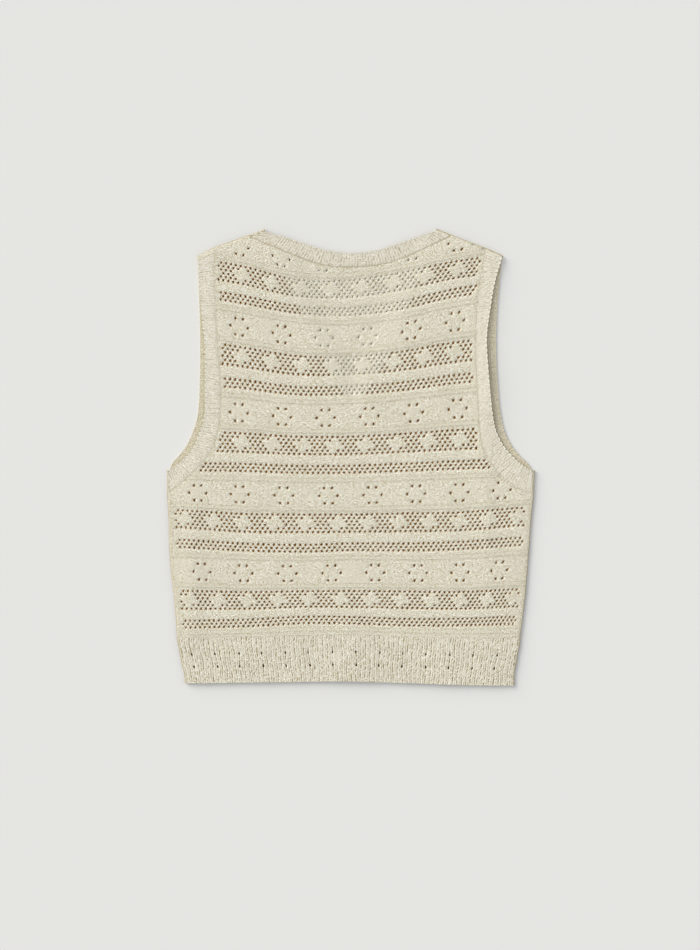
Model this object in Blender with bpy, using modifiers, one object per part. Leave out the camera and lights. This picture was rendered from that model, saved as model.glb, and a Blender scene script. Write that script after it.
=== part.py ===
"""A cropped sleeveless vest in lace knit, laid flat on its front, so the back is up.

X runs across the vest and Y up it, from hem to shoulders. The origin is the middle of the underside.
The back lies on the front. They are joined where the cloth folds: down both sides and along both
shoulders. The neckband and the two armhole bands are rings of rib, pressed flat in the same way.
"""
import math
from collections import namedtuple

import bmesh
import bpy
from mathutils import Vector

MM = 0.001

# Driving dimensions, in millimetres
CLOTH = 2.0          # wall of the knit
SEAM_GAP = 0.3       # space between two pieces that are sewn together
LAYER_RISE = 3.4     # from the middle of the front's wall to the middle of the back's
FOLD_LIP = 0.45      # half of the straight stretch of wall at a fold

# Derived sizes
FRONT_MIDDLE = CLOTH / 2
FOLD_HEIGHT = FRONT_MIDDLE + LAYER_RISE / 2
FOLD_RADIUS = LAYER_RISE / 2 - FOLD_LIP
BACK = 1
FRONT = -1

# How finely each stretch is divided
HEM_COLUMNS = 16
FOLD_ARC_STEPS = 2
BODY_ROWS = 8
SHOULDER_COLUMNS = 2
BAND_COLUMNS = 2
HEM_ROWS = 2
SECTION_STEPS = 2
TABLE_STEPS = 8

# Two seam points nearer than this are one place, as where a band passes over a fold, in millimetres
SAME_PLACE = 0.01

Side = namedtuple("Side", "height left right")
SIDES = (
    Side(-254.6, -185.0, 181.7),
    Side(-232.8, -188.5, 184.3),
    Side(-216.0, -192.0, 187.3),
    Side(-202.5, -194.0, 188.8),
    Side(-160.0, -197.2, 194.3),
    Side(-115.0, -202.0, 198.0),
    Side(-70.0, -203.6, 201.3),
    Side(-39.0, -205.4, 204.4),
    Side(-15.0, -205.4, 205.4),
)

# The hem rib's upper line, where it is sewn to a panel, and its lower edge, across the vest
Hem = namedtuple("Hem", "across seam_y edge_y")
HEM = (
    Hem(0.0, -202.5, -253.0),
    Hem(0.33, -200.2, -251.2),
    Hem(0.5, -199.0, -250.7),
    Hem(0.67, -201.3, -252.5),
    Hem(0.85, -203.0, -254.6),
    Hem(1.0, -202.5, -255.4),
)

# A band's free edge and the seam that joins it to its panel, from the shoulder down to the underarm
Section = namedtuple("Section", "edge_x edge_y seam_x seam_y")
LEFT_ARMHOLE_BACK = (
    Section(-172.5, 225.0, -154.0, 234.5),
    Section(-170.0, 194.5, -153.0, 195.5),
    Section(-167.0, 158.5, -151.5, 158.5),
    Section(-164.0, 126.0, -149.5, 126.0),
    Section(-163.5, 81.5, -146.5, 78.0),
    Section(-164.5, 47.5, -147.0, 47.5),
    Section(-169.5, 28.5, -151.0, 25.0),
    Section(-178.0, 9.0, -159.5, 4.0),
    Section(-190.5, -4.5, -176.0, -15.0),
    Section(-198.5, -11.0, -190.5, -28.0),
    Section(-205.4, -15.0, -205.4, -38.0),
)
LEFT_ARMHOLE_FRONT = (
    Section(-172.5, 225.0, -154.0, 234.5),
    Section(-170.5, 194.5, -153.0, 194.5),
    Section(-169.5, 160.0, -152.0, 158.5),
    Section(-169.0, 123.0, -151.5, 123.0),
    Section(-169.5, 81.5, -152.0, 78.0),
    Section(-171.5, 49.0, -155.0, 44.5),
    Section(-177.0, 29.5, -160.5, 21.0),
    Section(-184.5, 13.0, -168.5, 1.5),
    Section(-193.5, 1.5, -179.5, -13.0),
    Section(-200.0, -6.0, -190.5, -27.0),
    Section(-205.4, -15.0, -205.4, -38.0),
)
RIGHT_ARMHOLE_BACK = (
    Section(170.0, 225.5, 151.5, 234.0),
    Section(161.0, 195.5, 144.5, 193.5),
    Section(155.5, 163.0, 141.0, 160.0),
    Section(152.0, 132.0, 140.0, 126.0),
    Section(154.5, 89.0, 141.5, 87.0),
    Section(158.5, 49.0, 144.0, 42.0),
    Section(163.0, 28.5, 147.0, 15.0),
    Section(171.5, 12.5, 153.5, -0.5),
    Section(184.0, -1.5, 166.0, -17.5),
    Section(194.0, -10.0, 183.0, -31.5),
    Section(205.4, -15.0, 204.4, -40.0),
)
RIGHT_ARMHOLE_FRONT = (
    Section(170.0, 225.5, 151.5, 234.0),
    Section(166.0, 193.5, 149.0, 193.5),
    Section(163.5, 162.0, 146.0, 161.0),
    Section(162.5, 126.0, 144.5, 126.0),
    Section(164.0, 87.0, 146.0, 84.5),
    Section(167.5, 50.0, 150.5, 44.5),
    Section(172.5, 28.5, 156.0, 19.5),
    Section(180.0, 13.5, 164.5, 1.0),
    Section(189.5, 1.5, 175.5, -13.5),
    Section(197.5, -6.0, 188.5, -29.5),
    Section(205.4, -15.0, 204.4, -40.0),
)

# The neckband, from the left shoulder to the right one
NECK_BACK = (
    Section(-97.0, 255.2, -113.0, 249.0),
    Section(-76.5, 247.5, -86.0, 236.0),
    Section(-52.5, 239.5, -60.0, 225.5),
    Section(-27.0, 232.0, -31.5, 216.0),
    Section(0.5, 229.0, 0.0, 213.5),
    Section(29.5, 232.0, 34.0, 216.5),
    Section(54.0, 240.0, 61.5, 225.0),
    Section(76.0, 247.5, 86.0, 236.0),
    Section(95.5, 255.4, 110.5, 249.5),
)
NECK_FRONT_LEFT = (
    Section(-97.0, 255.2, -113.0, 249.0),
    Section(-84.0, 220.0, -98.5, 213.5),
    Section(-68.5, 185.0, -82.5, 178.0),
    Section(-51.0, 148.0, -64.5, 140.5),
    Section(-32.5, 110.5, -45.5, 102.5),
    Section(-15.0, 80.0, -26.5, 66.0),
    Section(3.0, 52.0, 3.0, 21.0),
)
NECK_FRONT_RIGHT = (
    Section(3.0, 52.0, 3.0, 21.0),
    Section(22.0, 78.0, 33.0, 65.0),
    Section(39.5, 108.5, 52.5, 100.5),
    Section(56.0, 143.0, 69.5, 135.5),
    Section(71.0, 180.0, 85.0, 173.0),
    Section(84.0, 216.0, 98.5, 210.5),
    Section(95.5, 255.4, 110.5, 249.5),
)

Station = namedtuple("Station", "seam edge height")
Finish = namedtuple("Finish", "colour roughness")
LACE_KNIT = Finish((0.70, 0.665, 0.53, 1.0), 0.95)
RIB_KNIT = Finish((0.68, 0.64, 0.50, 1.0), 0.95)


def clear_scene():
    for thing in list(bpy.data.objects):
        bpy.data.objects.remove(thing, do_unlink=True)


def make_material(name, finish):
    material = bpy.data.materials.new(name)
    material.use_nodes = True
    shader = material.node_tree.nodes["Principled BSDF"]
    shader.inputs["Base Color"].default_value = finish.colour
    shader.inputs["Roughness"].default_value = finish.roughness
    shader.inputs["Metallic"].default_value = 0.0
    return material


def smooth_rows(rows, steps):
    """Rows of numbers on a Catmull-Rom curve through the given rows, with `steps` to each span."""
    result = []
    for index in range(len(rows) - 1):
        before = rows[max(index - 1, 0)]
        start = rows[index]
        end = rows[index + 1]
        after = rows[min(index + 2, len(rows) - 1)]
        for step in range(steps):
            t = step / steps
            row = []
            for p0, p1, p2, p3 in zip(before, start, end, after):
                bend = (2 * p0 - 5 * p1 + 4 * p2 - p3) * t * t
                twist = (3 * p1 - p0 - 3 * p2 + p3) * t ** 3
                row.append(0.5 * (2 * p1 + (p2 - p0) * t + bend + twist))
            result.append(row)
    result.append(list(rows[-1]))
    return result


def read_table(table, place, column):
    """A column's value on a smooth line through a table whose first column rises, at a place in it."""
    rows = smooth_rows(table, TABLE_STEPS)
    place = min(max(place, rows[0][0]), rows[-1][0])
    for low, high in zip(rows, rows[1:]):
        if low[0] <= place <= high[0]:
            t = (place - low[0]) / (high[0] - low[0])
            return low[column] + (high[column] - low[column]) * t


def left_side(height):
    return read_table(SIDES, height, Side._fields.index("left"))


def right_side(height):
    return read_table(SIDES, height, Side._fields.index("right"))


def fold_profile():
    """The middle of a fold's wall, from its outermost point in: (distance in, height above the fold)."""
    outermost = CLOTH / 2
    profile = [(outermost, FOLD_LIP)]
    for step in range(1, FOLD_ARC_STEPS + 1):
        angle = math.radians(90.0 * step / FOLD_ARC_STEPS)
        inward = outermost + FOLD_RADIUS * (1 - math.cos(angle))
        profile.append((inward, FOLD_LIP + FOLD_RADIUS * math.sin(angle)))
    return profile


def panel_fold():
    """The same for a panel, which stops half a gap short of the other layer's panel."""
    outermost = fold_profile()[0][0]
    return [(outermost, SEAM_GAP / 2)] + fold_profile()


def shoulder_inward(armhole, neck):
    """The direction in plan from a shoulder's fold into the vest, square to the shoulder."""
    arm_point = Vector((armhole[0].seam_x, armhole[0].seam_y))
    neck_point = Vector((neck.seam_x, neck.seam_y))
    along = (neck_point - arm_point).normalized()
    inward = Vector((along.y, -along.x))
    return inward if inward.y < 0 else -inward


def band_sections(table, start_inward, end_inward):
    """Sections along a band between its two folds, as pairs of plan points (seam, edge)."""
    reach = fold_profile()[-1][0]
    rows = [list(section) for section in table]
    for row, inward in ((rows[0], start_inward), (rows[-1], end_inward)):
        for x_at in (0, 2):
            row[x_at] += inward.x * reach
            row[x_at + 1] += inward.y * reach
    smooth = smooth_rows(rows, SECTION_STEPS)
    return [(Vector((row[2], row[3])), Vector((row[0], row[1]))) for row in smooth]


def hem_line(column, across, lift=0.0):
    """A point of the hem's "seam_y" or "edge_y" line, at a fraction of the way between the side folds."""
    y = read_table(HEM, across, Hem._fields.index(column)) + lift
    reach = fold_profile()[-1][0]
    left = left_side(y) + reach
    right = right_side(y) - reach
    return Vector((left + (right - left) * across, y))


def finish_sheet(name, mesh_data, material, collection):
    """Turn a sheet of the wall's middle into one object with a thickened wall."""
    bmesh.ops.recalc_face_normals(mesh_data, faces=mesh_data.faces)
    mesh = bpy.data.meshes.new(name)
    mesh_data.to_mesh(mesh)
    mesh_data.free()
    sheet = bpy.data.objects.new(name, mesh)
    collection.objects.link(sheet)
    wall = sheet.modifiers.new("Wall", "SOLIDIFY")
    wall.thickness = CLOTH * MM
    wall.offset = 0.0
    wall.use_even_offset = True
    mesh.materials.append(material)
    return sheet


def flat_grid(columns, rows):
    """A grid of faces, with each vertex's column and row."""
    sheet = bmesh.new()
    bmesh.ops.create_grid(sheet, x_segments=columns, y_segments=rows, size=1.0)
    places = {}
    for vertex in sheet.verts:
        column = round((vertex.co.x + 1) / 2 * columns)
        row = round((vertex.co.y + 1) / 2 * rows)
        places[vertex] = (column, row)
    return sheet, places


def drop_faces(sheet, places, unwanted):
    """Delete the faces whose lowest corner (column, row) the test rejects."""
    doomed = []
    for face in sheet.faces:
        column = min(places[vertex][0] for vertex in face.verts)
        row = min(places[vertex][1] for vertex in face.verts)
        if unwanted(column, row):
            doomed.append(face)
    bmesh.ops.delete(sheet, geom=doomed, context="FACES")


def make_panel(name, layer, left_seam, right_seam, neck_seam, left_in, right_in, material, collection):
    """A front or back panel.

    left_seam and right_seam run up the armholes, from underarm to shoulder; neck_seam from left to right.
    The panel's side folds take `fold` columns at each side below the armholes, and its shoulder folds
    take `fold` rows above the neck.
    """
    profile = panel_fold()
    fold = len(profile) - 1
    arm_rows = len(left_seam) - 1
    neck_columns = len(neck_seam) - 1
    inner_columns = 2 * SHOULDER_COLUMNS + neck_columns
    columns = inner_columns + 2 * fold
    underarm_row = BODY_ROWS
    top_row = BODY_ROWS + arm_rows
    rows = top_row + fold
    neck_start = fold + SHOULDER_COLUMNS
    neck_end = neck_start + neck_columns

    top_line = [left_seam[-1].lerp(neck_seam[0], i / SHOULDER_COLUMNS) for i in range(SHOULDER_COLUMNS)]
    top_line += neck_seam
    top_line += [neck_seam[-1].lerp(right_seam[-1], (i + 1) / SHOULDER_COLUMNS) for i in range(SHOULDER_COLUMNS)]
    width = top_line[-1].x - top_line[0].x
    across = [(point.x - top_line[0].x) / width for point in top_line]

    reach = profile[-1][0]
    bottom_line = [hem_line("seam_y", fraction) for fraction in across]
    left_line = []
    right_line = []
    for row in range(BODY_ROWS):
        part = row / BODY_ROWS
        left_y = bottom_line[0].y * (1 - part) + left_seam[0].y * part
        right_y = bottom_line[-1].y * (1 - part) + right_seam[0].y * part
        left_line.append(Vector((left_side(left_y) + reach, left_y)))
        right_line.append(Vector((right_side(right_y) - reach, right_y)))
    left_line += left_seam
    right_line += right_seam
    left_rise = [(point.y - left_line[0].y) / (left_line[-1].y - left_line[0].y) for point in left_line]
    right_rise = [(point.y - right_line[0].y) / (right_line[-1].y - right_line[0].y) for point in right_line]

    def inner_point(column, row):
        """A Coons patch between the four border lines."""
        u = across[column]
        v = left_rise[row] + (right_rise[row] - left_rise[row]) * u
        between_ends = left_line[row].lerp(right_line[row], u)
        between_rows = bottom_line[column].lerp(top_line[column], v)
        low = left_line[0].lerp(right_line[0], u)
        high = left_line[-1].lerp(right_line[-1], u)
        return between_ends + between_rows - low.lerp(high, v)

    def place(column, row):
        inner_column = min(max(column - fold, 0), inner_columns)
        inner_row = min(row, top_row)
        point = inner_point(inner_column, inner_row)
        height = profile[-1][1]
        side_step = max(fold - column, column - fold - inner_columns)
        top_step = row - top_row
        if side_step > 0:
            inward, height = profile[fold - side_step]
            shift = reach - inward
            point.x += -shift if column < fold else shift
        elif top_step > 0:
            inward, height = profile[fold - top_step]
            outward = -left_in if column < (neck_start + neck_end) / 2 else -right_in
            point += outward * (reach - inward)
        return Vector((point.x, point.y, FOLD_HEIGHT + layer * height)) * MM

    sheet, places = flat_grid(columns, rows)
    for vertex, (column, row) in places.items():
        vertex.co = place(column, row)

    def unwanted(column, row):
        beside_armhole = row >= underarm_row and not fold <= column < fold + inner_columns
        above_neck = row >= top_row and neck_start <= column < neck_end
        return beside_armhole or above_neck

    drop_faces(sheet, places, unwanted)
    return finish_sheet(name, sheet, material, collection)


def make_hem_rib(name, layer, material, collection):
    """The rib below a panel, down to the vest's open lower edge."""
    columns = HEM_COLUMNS
    profile = panel_fold()
    fold = len(profile) - 1
    reach = profile[-1][0]
    sheet, places = flat_grid(columns + 2 * fold, HEM_ROWS)
    for vertex, (column, row) in places.items():
        inner = min(max(column - fold, 0), columns)
        across = inner / columns
        low = hem_line("edge_y", across)
        high = hem_line("seam_y", across, -SEAM_GAP)
        point = low.lerp(high, row / HEM_ROWS)
        height = profile[-1][1]
        side_step = max(fold - column, column - fold - columns)
        if side_step > 0:
            inward, height = profile[fold - side_step]
            shift = reach - inward
            point.x += -shift if column < fold else shift
        vertex.co = Vector((point.x, point.y, FOLD_HEIGHT + layer * height)) * MM
    return finish_sheet(name, sheet, material, collection)


def fold_stations(section, inward, from_layer):
    """Stations of a band round one fold, from the wall of one layer over to the other's."""
    profile = fold_profile()[:-1]
    seam = Vector((section.seam_x, section.seam_y))
    edge = Vector((section.edge_x, section.edge_y))
    stations = []
    for distance, height in reversed(profile):
        stations.append(Station(seam + inward * distance, edge + inward * distance, from_layer * height))
    for distance, height in profile:
        stations.append(Station(seam + inward * distance, edge + inward * distance, -from_layer * height))
    return stations


def layer_stations(sections, layer):
    height = fold_profile()[-1][1]
    return [Station(seam, edge, layer * height) for seam, edge in sections]


def seam_clearance(stations, index):
    """How far a band's edge stands back along its section, to lie one gap from the panel's edge."""
    station = stations[index]
    across = station.edge - station.seam
    slant = 1.0
    for other in (stations[index - 1], stations[(index + 1) % len(stations)]):
        along = other.seam - station.seam
        if along.length > SAME_PLACE:
            cross = across.x * along.y - across.y * along.x
            slant = min(slant, abs(cross) / (across.length * along.length))
    return across.normalized() * SEAM_GAP / slant


def make_band(name, stations, material, collection):
    """A ring of rib: a tube's side, laid out along the stations."""
    sheet = bmesh.new()
    count = len(stations)
    bmesh.ops.create_cone(sheet, cap_ends=False, segments=count, radius1=1.0, radius2=1.0, depth=2.0)
    uprights = [edge for edge in sheet.edges if abs(edge.verts[0].co.z - edge.verts[1].co.z) > 1.0]
    bmesh.ops.subdivide_edges(sheet, edges=uprights, cuts=BAND_COLUMNS - 1, use_grid_fill=True)
    for vertex in sheet.verts:
        turn = math.atan2(vertex.co.x, vertex.co.y) / math.tau
        index = round(turn * count) % count
        station = stations[index]
        inner_edge = station.seam + seam_clearance(stations, index)
        point = inner_edge.lerp(station.edge, (vertex.co.z + 1) / 2)
        vertex.co = Vector((point.x, point.y, FOLD_HEIGHT + station.height)) * MM
    return finish_sheet(name, sheet, material, collection)


def seam_line(sections):
    return [seam for seam, edge in sections]


def main():
    clear_scene()
    collection = bpy.data.collections.new("sweater_vest")
    bpy.context.scene.collection.children.link(collection)
    lace = make_material("lace_knit", LACE_KNIT)
    rib = make_material("rib_knit", RIB_KNIT)

    left_side_in = Vector((1.0, 0.0))
    right_side_in = Vector((-1.0, 0.0))
    left_in = shoulder_inward(LEFT_ARMHOLE_BACK, NECK_BACK[0])
    right_in = shoulder_inward(RIGHT_ARMHOLE_BACK, NECK_BACK[-1])

    left_back = band_sections(LEFT_ARMHOLE_BACK, left_in, left_side_in)
    left_front = band_sections(LEFT_ARMHOLE_FRONT, left_in, left_side_in)
    right_back = band_sections(RIGHT_ARMHOLE_BACK, right_in, right_side_in)
    right_front = band_sections(RIGHT_ARMHOLE_FRONT, right_in, right_side_in)
    neck_back = band_sections(NECK_BACK, left_in, right_in)
    no_fold = Vector((0.0, 0.0))
    neck_left = band_sections(NECK_FRONT_LEFT, left_in, no_fold)
    neck_right = band_sections(NECK_FRONT_RIGHT, no_fold, right_in)
    neck_front = neck_left + neck_right[1:]

    make_panel("back_panel", BACK, seam_line(left_back)[::-1], seam_line(right_back)[::-1],
               seam_line(neck_back), left_in, right_in, lace, collection)
    make_panel("front_panel", FRONT, seam_line(left_front)[::-1], seam_line(right_front)[::-1],
               seam_line(neck_front), left_in, right_in, lace, collection)
    make_hem_rib("back_hem_rib", BACK, rib, collection)
    make_hem_rib("front_hem_rib", FRONT, rib, collection)

    neck_ring = layer_stations(neck_back, BACK)
    neck_ring += fold_stations(NECK_BACK[-1], right_in, BACK)
    neck_ring += layer_stations(neck_front[::-1], FRONT)
    neck_ring += fold_stations(NECK_BACK[0], left_in, FRONT)
    make_band("neckband", neck_ring, rib, collection)

    arms = (
        ("left_armband", left_back, left_front, LEFT_ARMHOLE_BACK, left_in, left_side_in),
        ("right_armband", right_back, right_front, RIGHT_ARMHOLE_BACK, right_in, right_side_in),
    )
    for name, back, front, table, shoulder_in, side_in in arms:
        ring = layer_stations(back[::-1], BACK)
        ring += fold_stations(table[0], shoulder_in, BACK)
        ring += layer_stations(front, FRONT)
        ring += fold_stations(table[-1], side_in, FRONT)
        make_band(name, ring, rib, collection)


main()
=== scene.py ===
# %% [markdown]
# A cropped, sleeveless vest in a cotton eyelet lace knit, laid flat on its front, so that its back shows.
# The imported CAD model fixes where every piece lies. Everything below rebuilds the pieces' looks around
# it. All sizes are in millimetres until a mesh is finished, because a knitter thinks in millimetres and
# stitches.

# %% Load the frame
import math
import random
from collections import namedtuple

import bmesh
import bpy
import numpy as np
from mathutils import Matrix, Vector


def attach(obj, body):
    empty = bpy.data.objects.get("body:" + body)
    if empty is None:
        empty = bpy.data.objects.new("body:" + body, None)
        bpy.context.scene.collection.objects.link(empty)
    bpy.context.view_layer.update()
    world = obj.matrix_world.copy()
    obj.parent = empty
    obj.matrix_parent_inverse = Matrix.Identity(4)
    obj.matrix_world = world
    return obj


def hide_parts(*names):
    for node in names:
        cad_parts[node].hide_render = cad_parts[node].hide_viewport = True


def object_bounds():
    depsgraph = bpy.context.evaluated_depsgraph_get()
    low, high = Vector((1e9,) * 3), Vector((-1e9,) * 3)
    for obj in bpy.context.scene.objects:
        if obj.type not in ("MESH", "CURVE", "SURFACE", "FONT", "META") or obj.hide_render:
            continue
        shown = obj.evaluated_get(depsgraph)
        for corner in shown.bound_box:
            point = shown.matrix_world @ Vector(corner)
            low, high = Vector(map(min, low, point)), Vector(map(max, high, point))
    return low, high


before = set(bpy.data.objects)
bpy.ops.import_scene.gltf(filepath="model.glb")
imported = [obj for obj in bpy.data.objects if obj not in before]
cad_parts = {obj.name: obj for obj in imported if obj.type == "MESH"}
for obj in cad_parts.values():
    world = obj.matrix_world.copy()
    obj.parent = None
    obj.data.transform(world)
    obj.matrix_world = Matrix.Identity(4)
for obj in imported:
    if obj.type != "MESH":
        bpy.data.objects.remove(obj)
cad_low, cad_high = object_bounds()
print("CAD nodes:", ", ".join(sorted(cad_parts)))

# %% [markdown]
# ## The knit's own measures
# A lace knit is counted in stitches across and courses up. This one has 142 stitches across the chest and
# about 205 courses from the hem rib to the shoulders. The vest could be modelled as smooth cloth with a
# lace picture on it, but its eyelets are real holes that show the brown, unlit inside of the garment. So
# each panel is a grid with one face for each stitch and course, and the holes are opened in that grid.

# %% Measures
MM = 0.001
WALL = 1.7                # thickness of the knit
LOWEST_MIDDLE = WALL / 2 + 0.02    # how low the middle of a wall may lie, clear of the floor
LOWER_MIDDLE = 1.0        # height of the middle of the front's wall, which lies on the floor
UPPER_MIDDLE = 3.6        # and of the back's wall, which lies on the front
HALF_STITCHES = 71        # from the middle of a panel to its side fold
TOP_COURSE = 214
FOLD_REACH = 2.25         # how far a fold's rounding takes up of the vest's width
SEAM_LAP = 0.4            # how far a band's sunken edge laps over its panel's edge
SEAM_DIP = 0.3            # how far a sewn edge sinks
ARM_SEAM_REACH = 1.9      # how far from an armhole's seam the cloth starts to sink
NECK_SEAM_REACH = 0.9     # and from the neck's, which is pulled tight
ARM_SEAM_SHADE = 0.45      # how much painted shade lies in the seams, from 0 to 1
NECK_SEAM_SHADE = 0.75
BACK = 1                  # the layer that shows
FRONT = -1                # the layer that lies on the floor
print("stitch about", round((cad_high.x - cad_low.x) / MM / (2 * HALF_STITCHES), 2), "mm wide")

# %% [markdown]
# ## The outline
# The tables repeat the garment's cut from the CAD source: the side folds, the hem, and for each band its
# free edge and the seam where it is sewn to a panel. The vest was laid down by hand, so left and right
# differ a little.

# %% Outline tables
Side = namedtuple("Side", "height left right")
SIDES = (
    Side(-254.6, -185.0, 181.7),
    Side(-232.8, -188.5, 184.3),
    Side(-216.0, -192.0, 187.3),
    Side(-202.5, -194.0, 188.8),
    Side(-160.0, -197.2, 194.3),
    Side(-115.0, -202.0, 198.0),
    Side(-70.0, -203.6, 201.3),
    Side(-39.0, -205.4, 204.4),
    Side(-15.0, -205.4, 205.4),
)
Hem = namedtuple("Hem", "across seam_y edge_y")
HEM = (
    Hem(0.0, -202.5, -253.0),
    Hem(0.33, -200.2, -251.2),
    Hem(0.5, -199.0, -250.7),
    Hem(0.67, -201.3, -252.5),
    Hem(0.85, -203.0, -254.6),
    Hem(1.0, -202.5, -255.4),
)
Section = namedtuple("Section", "edge_x edge_y seam_x seam_y")
LEFT_ARMHOLE_BACK = (
    Section(-172.5, 225.0, -154.0, 234.5),
    Section(-170.0, 194.5, -153.0, 195.5),
    Section(-167.0, 158.5, -151.5, 158.5),
    Section(-164.0, 126.0, -149.5, 126.0),
    Section(-163.5, 81.5, -146.5, 78.0),
    Section(-164.5, 47.5, -147.0, 47.5),
    Section(-169.5, 28.5, -151.0, 25.0),
    Section(-178.0, 9.0, -159.5, 4.0),
    Section(-190.5, -4.5, -176.0, -15.0),
    Section(-198.5, -11.0, -190.5, -28.0),
    Section(-205.4, -15.0, -205.4, -38.0),
)
LEFT_ARMHOLE_FRONT = (
    Section(-172.5, 225.0, -154.0, 234.5),
    Section(-170.5, 194.5, -153.0, 194.5),
    Section(-169.5, 160.0, -152.0, 158.5),
    Section(-169.0, 123.0, -151.5, 123.0),
    Section(-169.5, 81.5, -152.0, 78.0),
    Section(-171.5, 49.0, -155.0, 44.5),
    Section(-177.0, 29.5, -160.5, 21.0),
    Section(-184.5, 13.0, -168.5, 1.5),
    Section(-193.5, 1.5, -179.5, -13.0),
    Section(-200.0, -6.0, -190.5, -27.0),
    Section(-205.4, -15.0, -205.4, -38.0),
)
RIGHT_ARMHOLE_BACK = (
    Section(170.0, 225.5, 151.5, 234.0),
    Section(161.0, 195.5, 144.5, 193.5),
    Section(155.5, 163.0, 141.0, 160.0),
    Section(152.0, 132.0, 140.0, 126.0),
    Section(154.5, 89.0, 141.5, 87.0),
    Section(158.5, 49.0, 144.0, 42.0),
    Section(163.0, 28.5, 147.0, 15.0),
    Section(171.5, 12.5, 153.5, -0.5),
    Section(184.0, -1.5, 166.0, -17.5),
    Section(194.0, -10.0, 183.0, -31.5),
    Section(205.4, -15.0, 204.4, -40.0),
)
RIGHT_ARMHOLE_FRONT = (
    Section(170.0, 225.5, 151.5, 234.0),
    Section(166.0, 193.5, 149.0, 193.5),
    Section(163.5, 162.0, 146.0, 161.0),
    Section(162.5, 126.0, 144.5, 126.0),
    Section(164.0, 87.0, 146.0, 84.5),
    Section(167.5, 50.0, 150.5, 44.5),
    Section(172.5, 28.5, 156.0, 19.5),
    Section(180.0, 13.5, 164.5, 1.0),
    Section(189.5, 1.5, 175.5, -13.5),
    Section(197.5, -6.0, 188.5, -29.5),
    Section(205.4, -15.0, 204.4, -40.0),
)
NECK_BACK = (
    Section(-97.0, 255.2, -113.0, 249.0),
    Section(-76.5, 247.5, -86.0, 236.0),
    Section(-52.5, 239.5, -60.0, 225.5),
    Section(-27.0, 232.0, -31.5, 216.0),
    Section(0.5, 229.0, 0.0, 213.5),
    Section(29.5, 232.0, 34.0, 216.5),
    Section(54.0, 240.0, 61.5, 225.0),
    Section(76.0, 247.5, 86.0, 236.0),
    Section(95.5, 255.4, 110.5, 249.5),
)
NECK_FRONT_LEFT = (
    Section(-97.0, 255.2, -113.0, 249.0),
    Section(-84.0, 220.0, -98.5, 213.5),
    Section(-68.5, 185.0, -82.5, 178.0),
    Section(-51.0, 148.0, -64.5, 140.5),
    Section(-32.5, 110.5, -45.5, 102.5),
    Section(-15.0, 80.0, -26.5, 66.0),
    Section(3.0, 52.0, 3.0, 21.0),
)
NECK_FRONT_RIGHT = (
    Section(3.0, 52.0, 3.0, 21.0),
    Section(22.0, 78.0, 33.0, 65.0),
    Section(39.5, 108.5, 52.5, 100.5),
    Section(56.0, 143.0, 69.5, 135.5),
    Section(71.0, 180.0, 85.0, 173.0),
    Section(84.0, 216.0, 98.5, 210.5),
    Section(95.5, 255.4, 110.5, 249.5),
)
print("chest", SIDES[-1].right - SIDES[-1].left, "mm, length", NECK_BACK[-1].edge_y - HEM[-1].edge_y, "mm")

# %% [markdown]
# ## Smooth lines through short tables
# Each table holds only the points that its shape needs. A Catmull-Rom curve passes through all of them,
# bends softly in between and needs no handles, so it is the simplest way to turn a short table into a
# cloth edge.

# %% Smooth lines
LINE_STEPS = 16


def smooth_rows(rows, steps=LINE_STEPS):
    """Rows of numbers on a Catmull-Rom curve through the given rows."""
    rows = np.array(rows, float)
    ends = np.concatenate([rows[:1], rows, rows[-1:]])
    t = np.arange(steps)[:, None] / steps
    spans = []
    for p0, p1, p2, p3 in zip(ends, ends[1:], ends[2:], ends[3:]):
        bend = (2 * p0 - 5 * p1 + 4 * p2 - p3) * t ** 2
        twist = (3 * p1 - p0 - 3 * p2 + p3) * t ** 3
        spans.append(0.5 * (2 * p1 + (p2 - p0) * t + bend + twist))
    return np.concatenate(spans + [rows[-1:]])


def line_through(table, along, value):
    """A function that reads one named column of a table at places in another, rising or falling, column."""
    curve = smooth_rows(table)
    at = curve[:, table[0]._fields.index(along)]
    found = curve[:, table[0]._fields.index(value)]
    if at[0] > at[-1]:
        at, found = at[::-1], found[::-1]
    return lambda place: np.interp(place, at, found)


left_side = line_through(SIDES, "height", "left")
right_side = line_through(SIDES, "height", "right")
lowest = SIDES[0].height
print("hem is", round(float(right_side(lowest) - left_side(lowest)), 1), "mm wide at its lower edge")

# %% [markdown]
# ## Where every stitch lies
# The courses of a knit never lie perfectly straight once it is put down: here they dip towards the middle
# near the neck and lift a little at the sides. Two small tables say where chosen stitches and courses
# lie. They are smoothed both ways into a lattice, which then gives the place of any stitch. Modelling the
# warp this way keeps the lace pattern itself a plain, countable chart.

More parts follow.
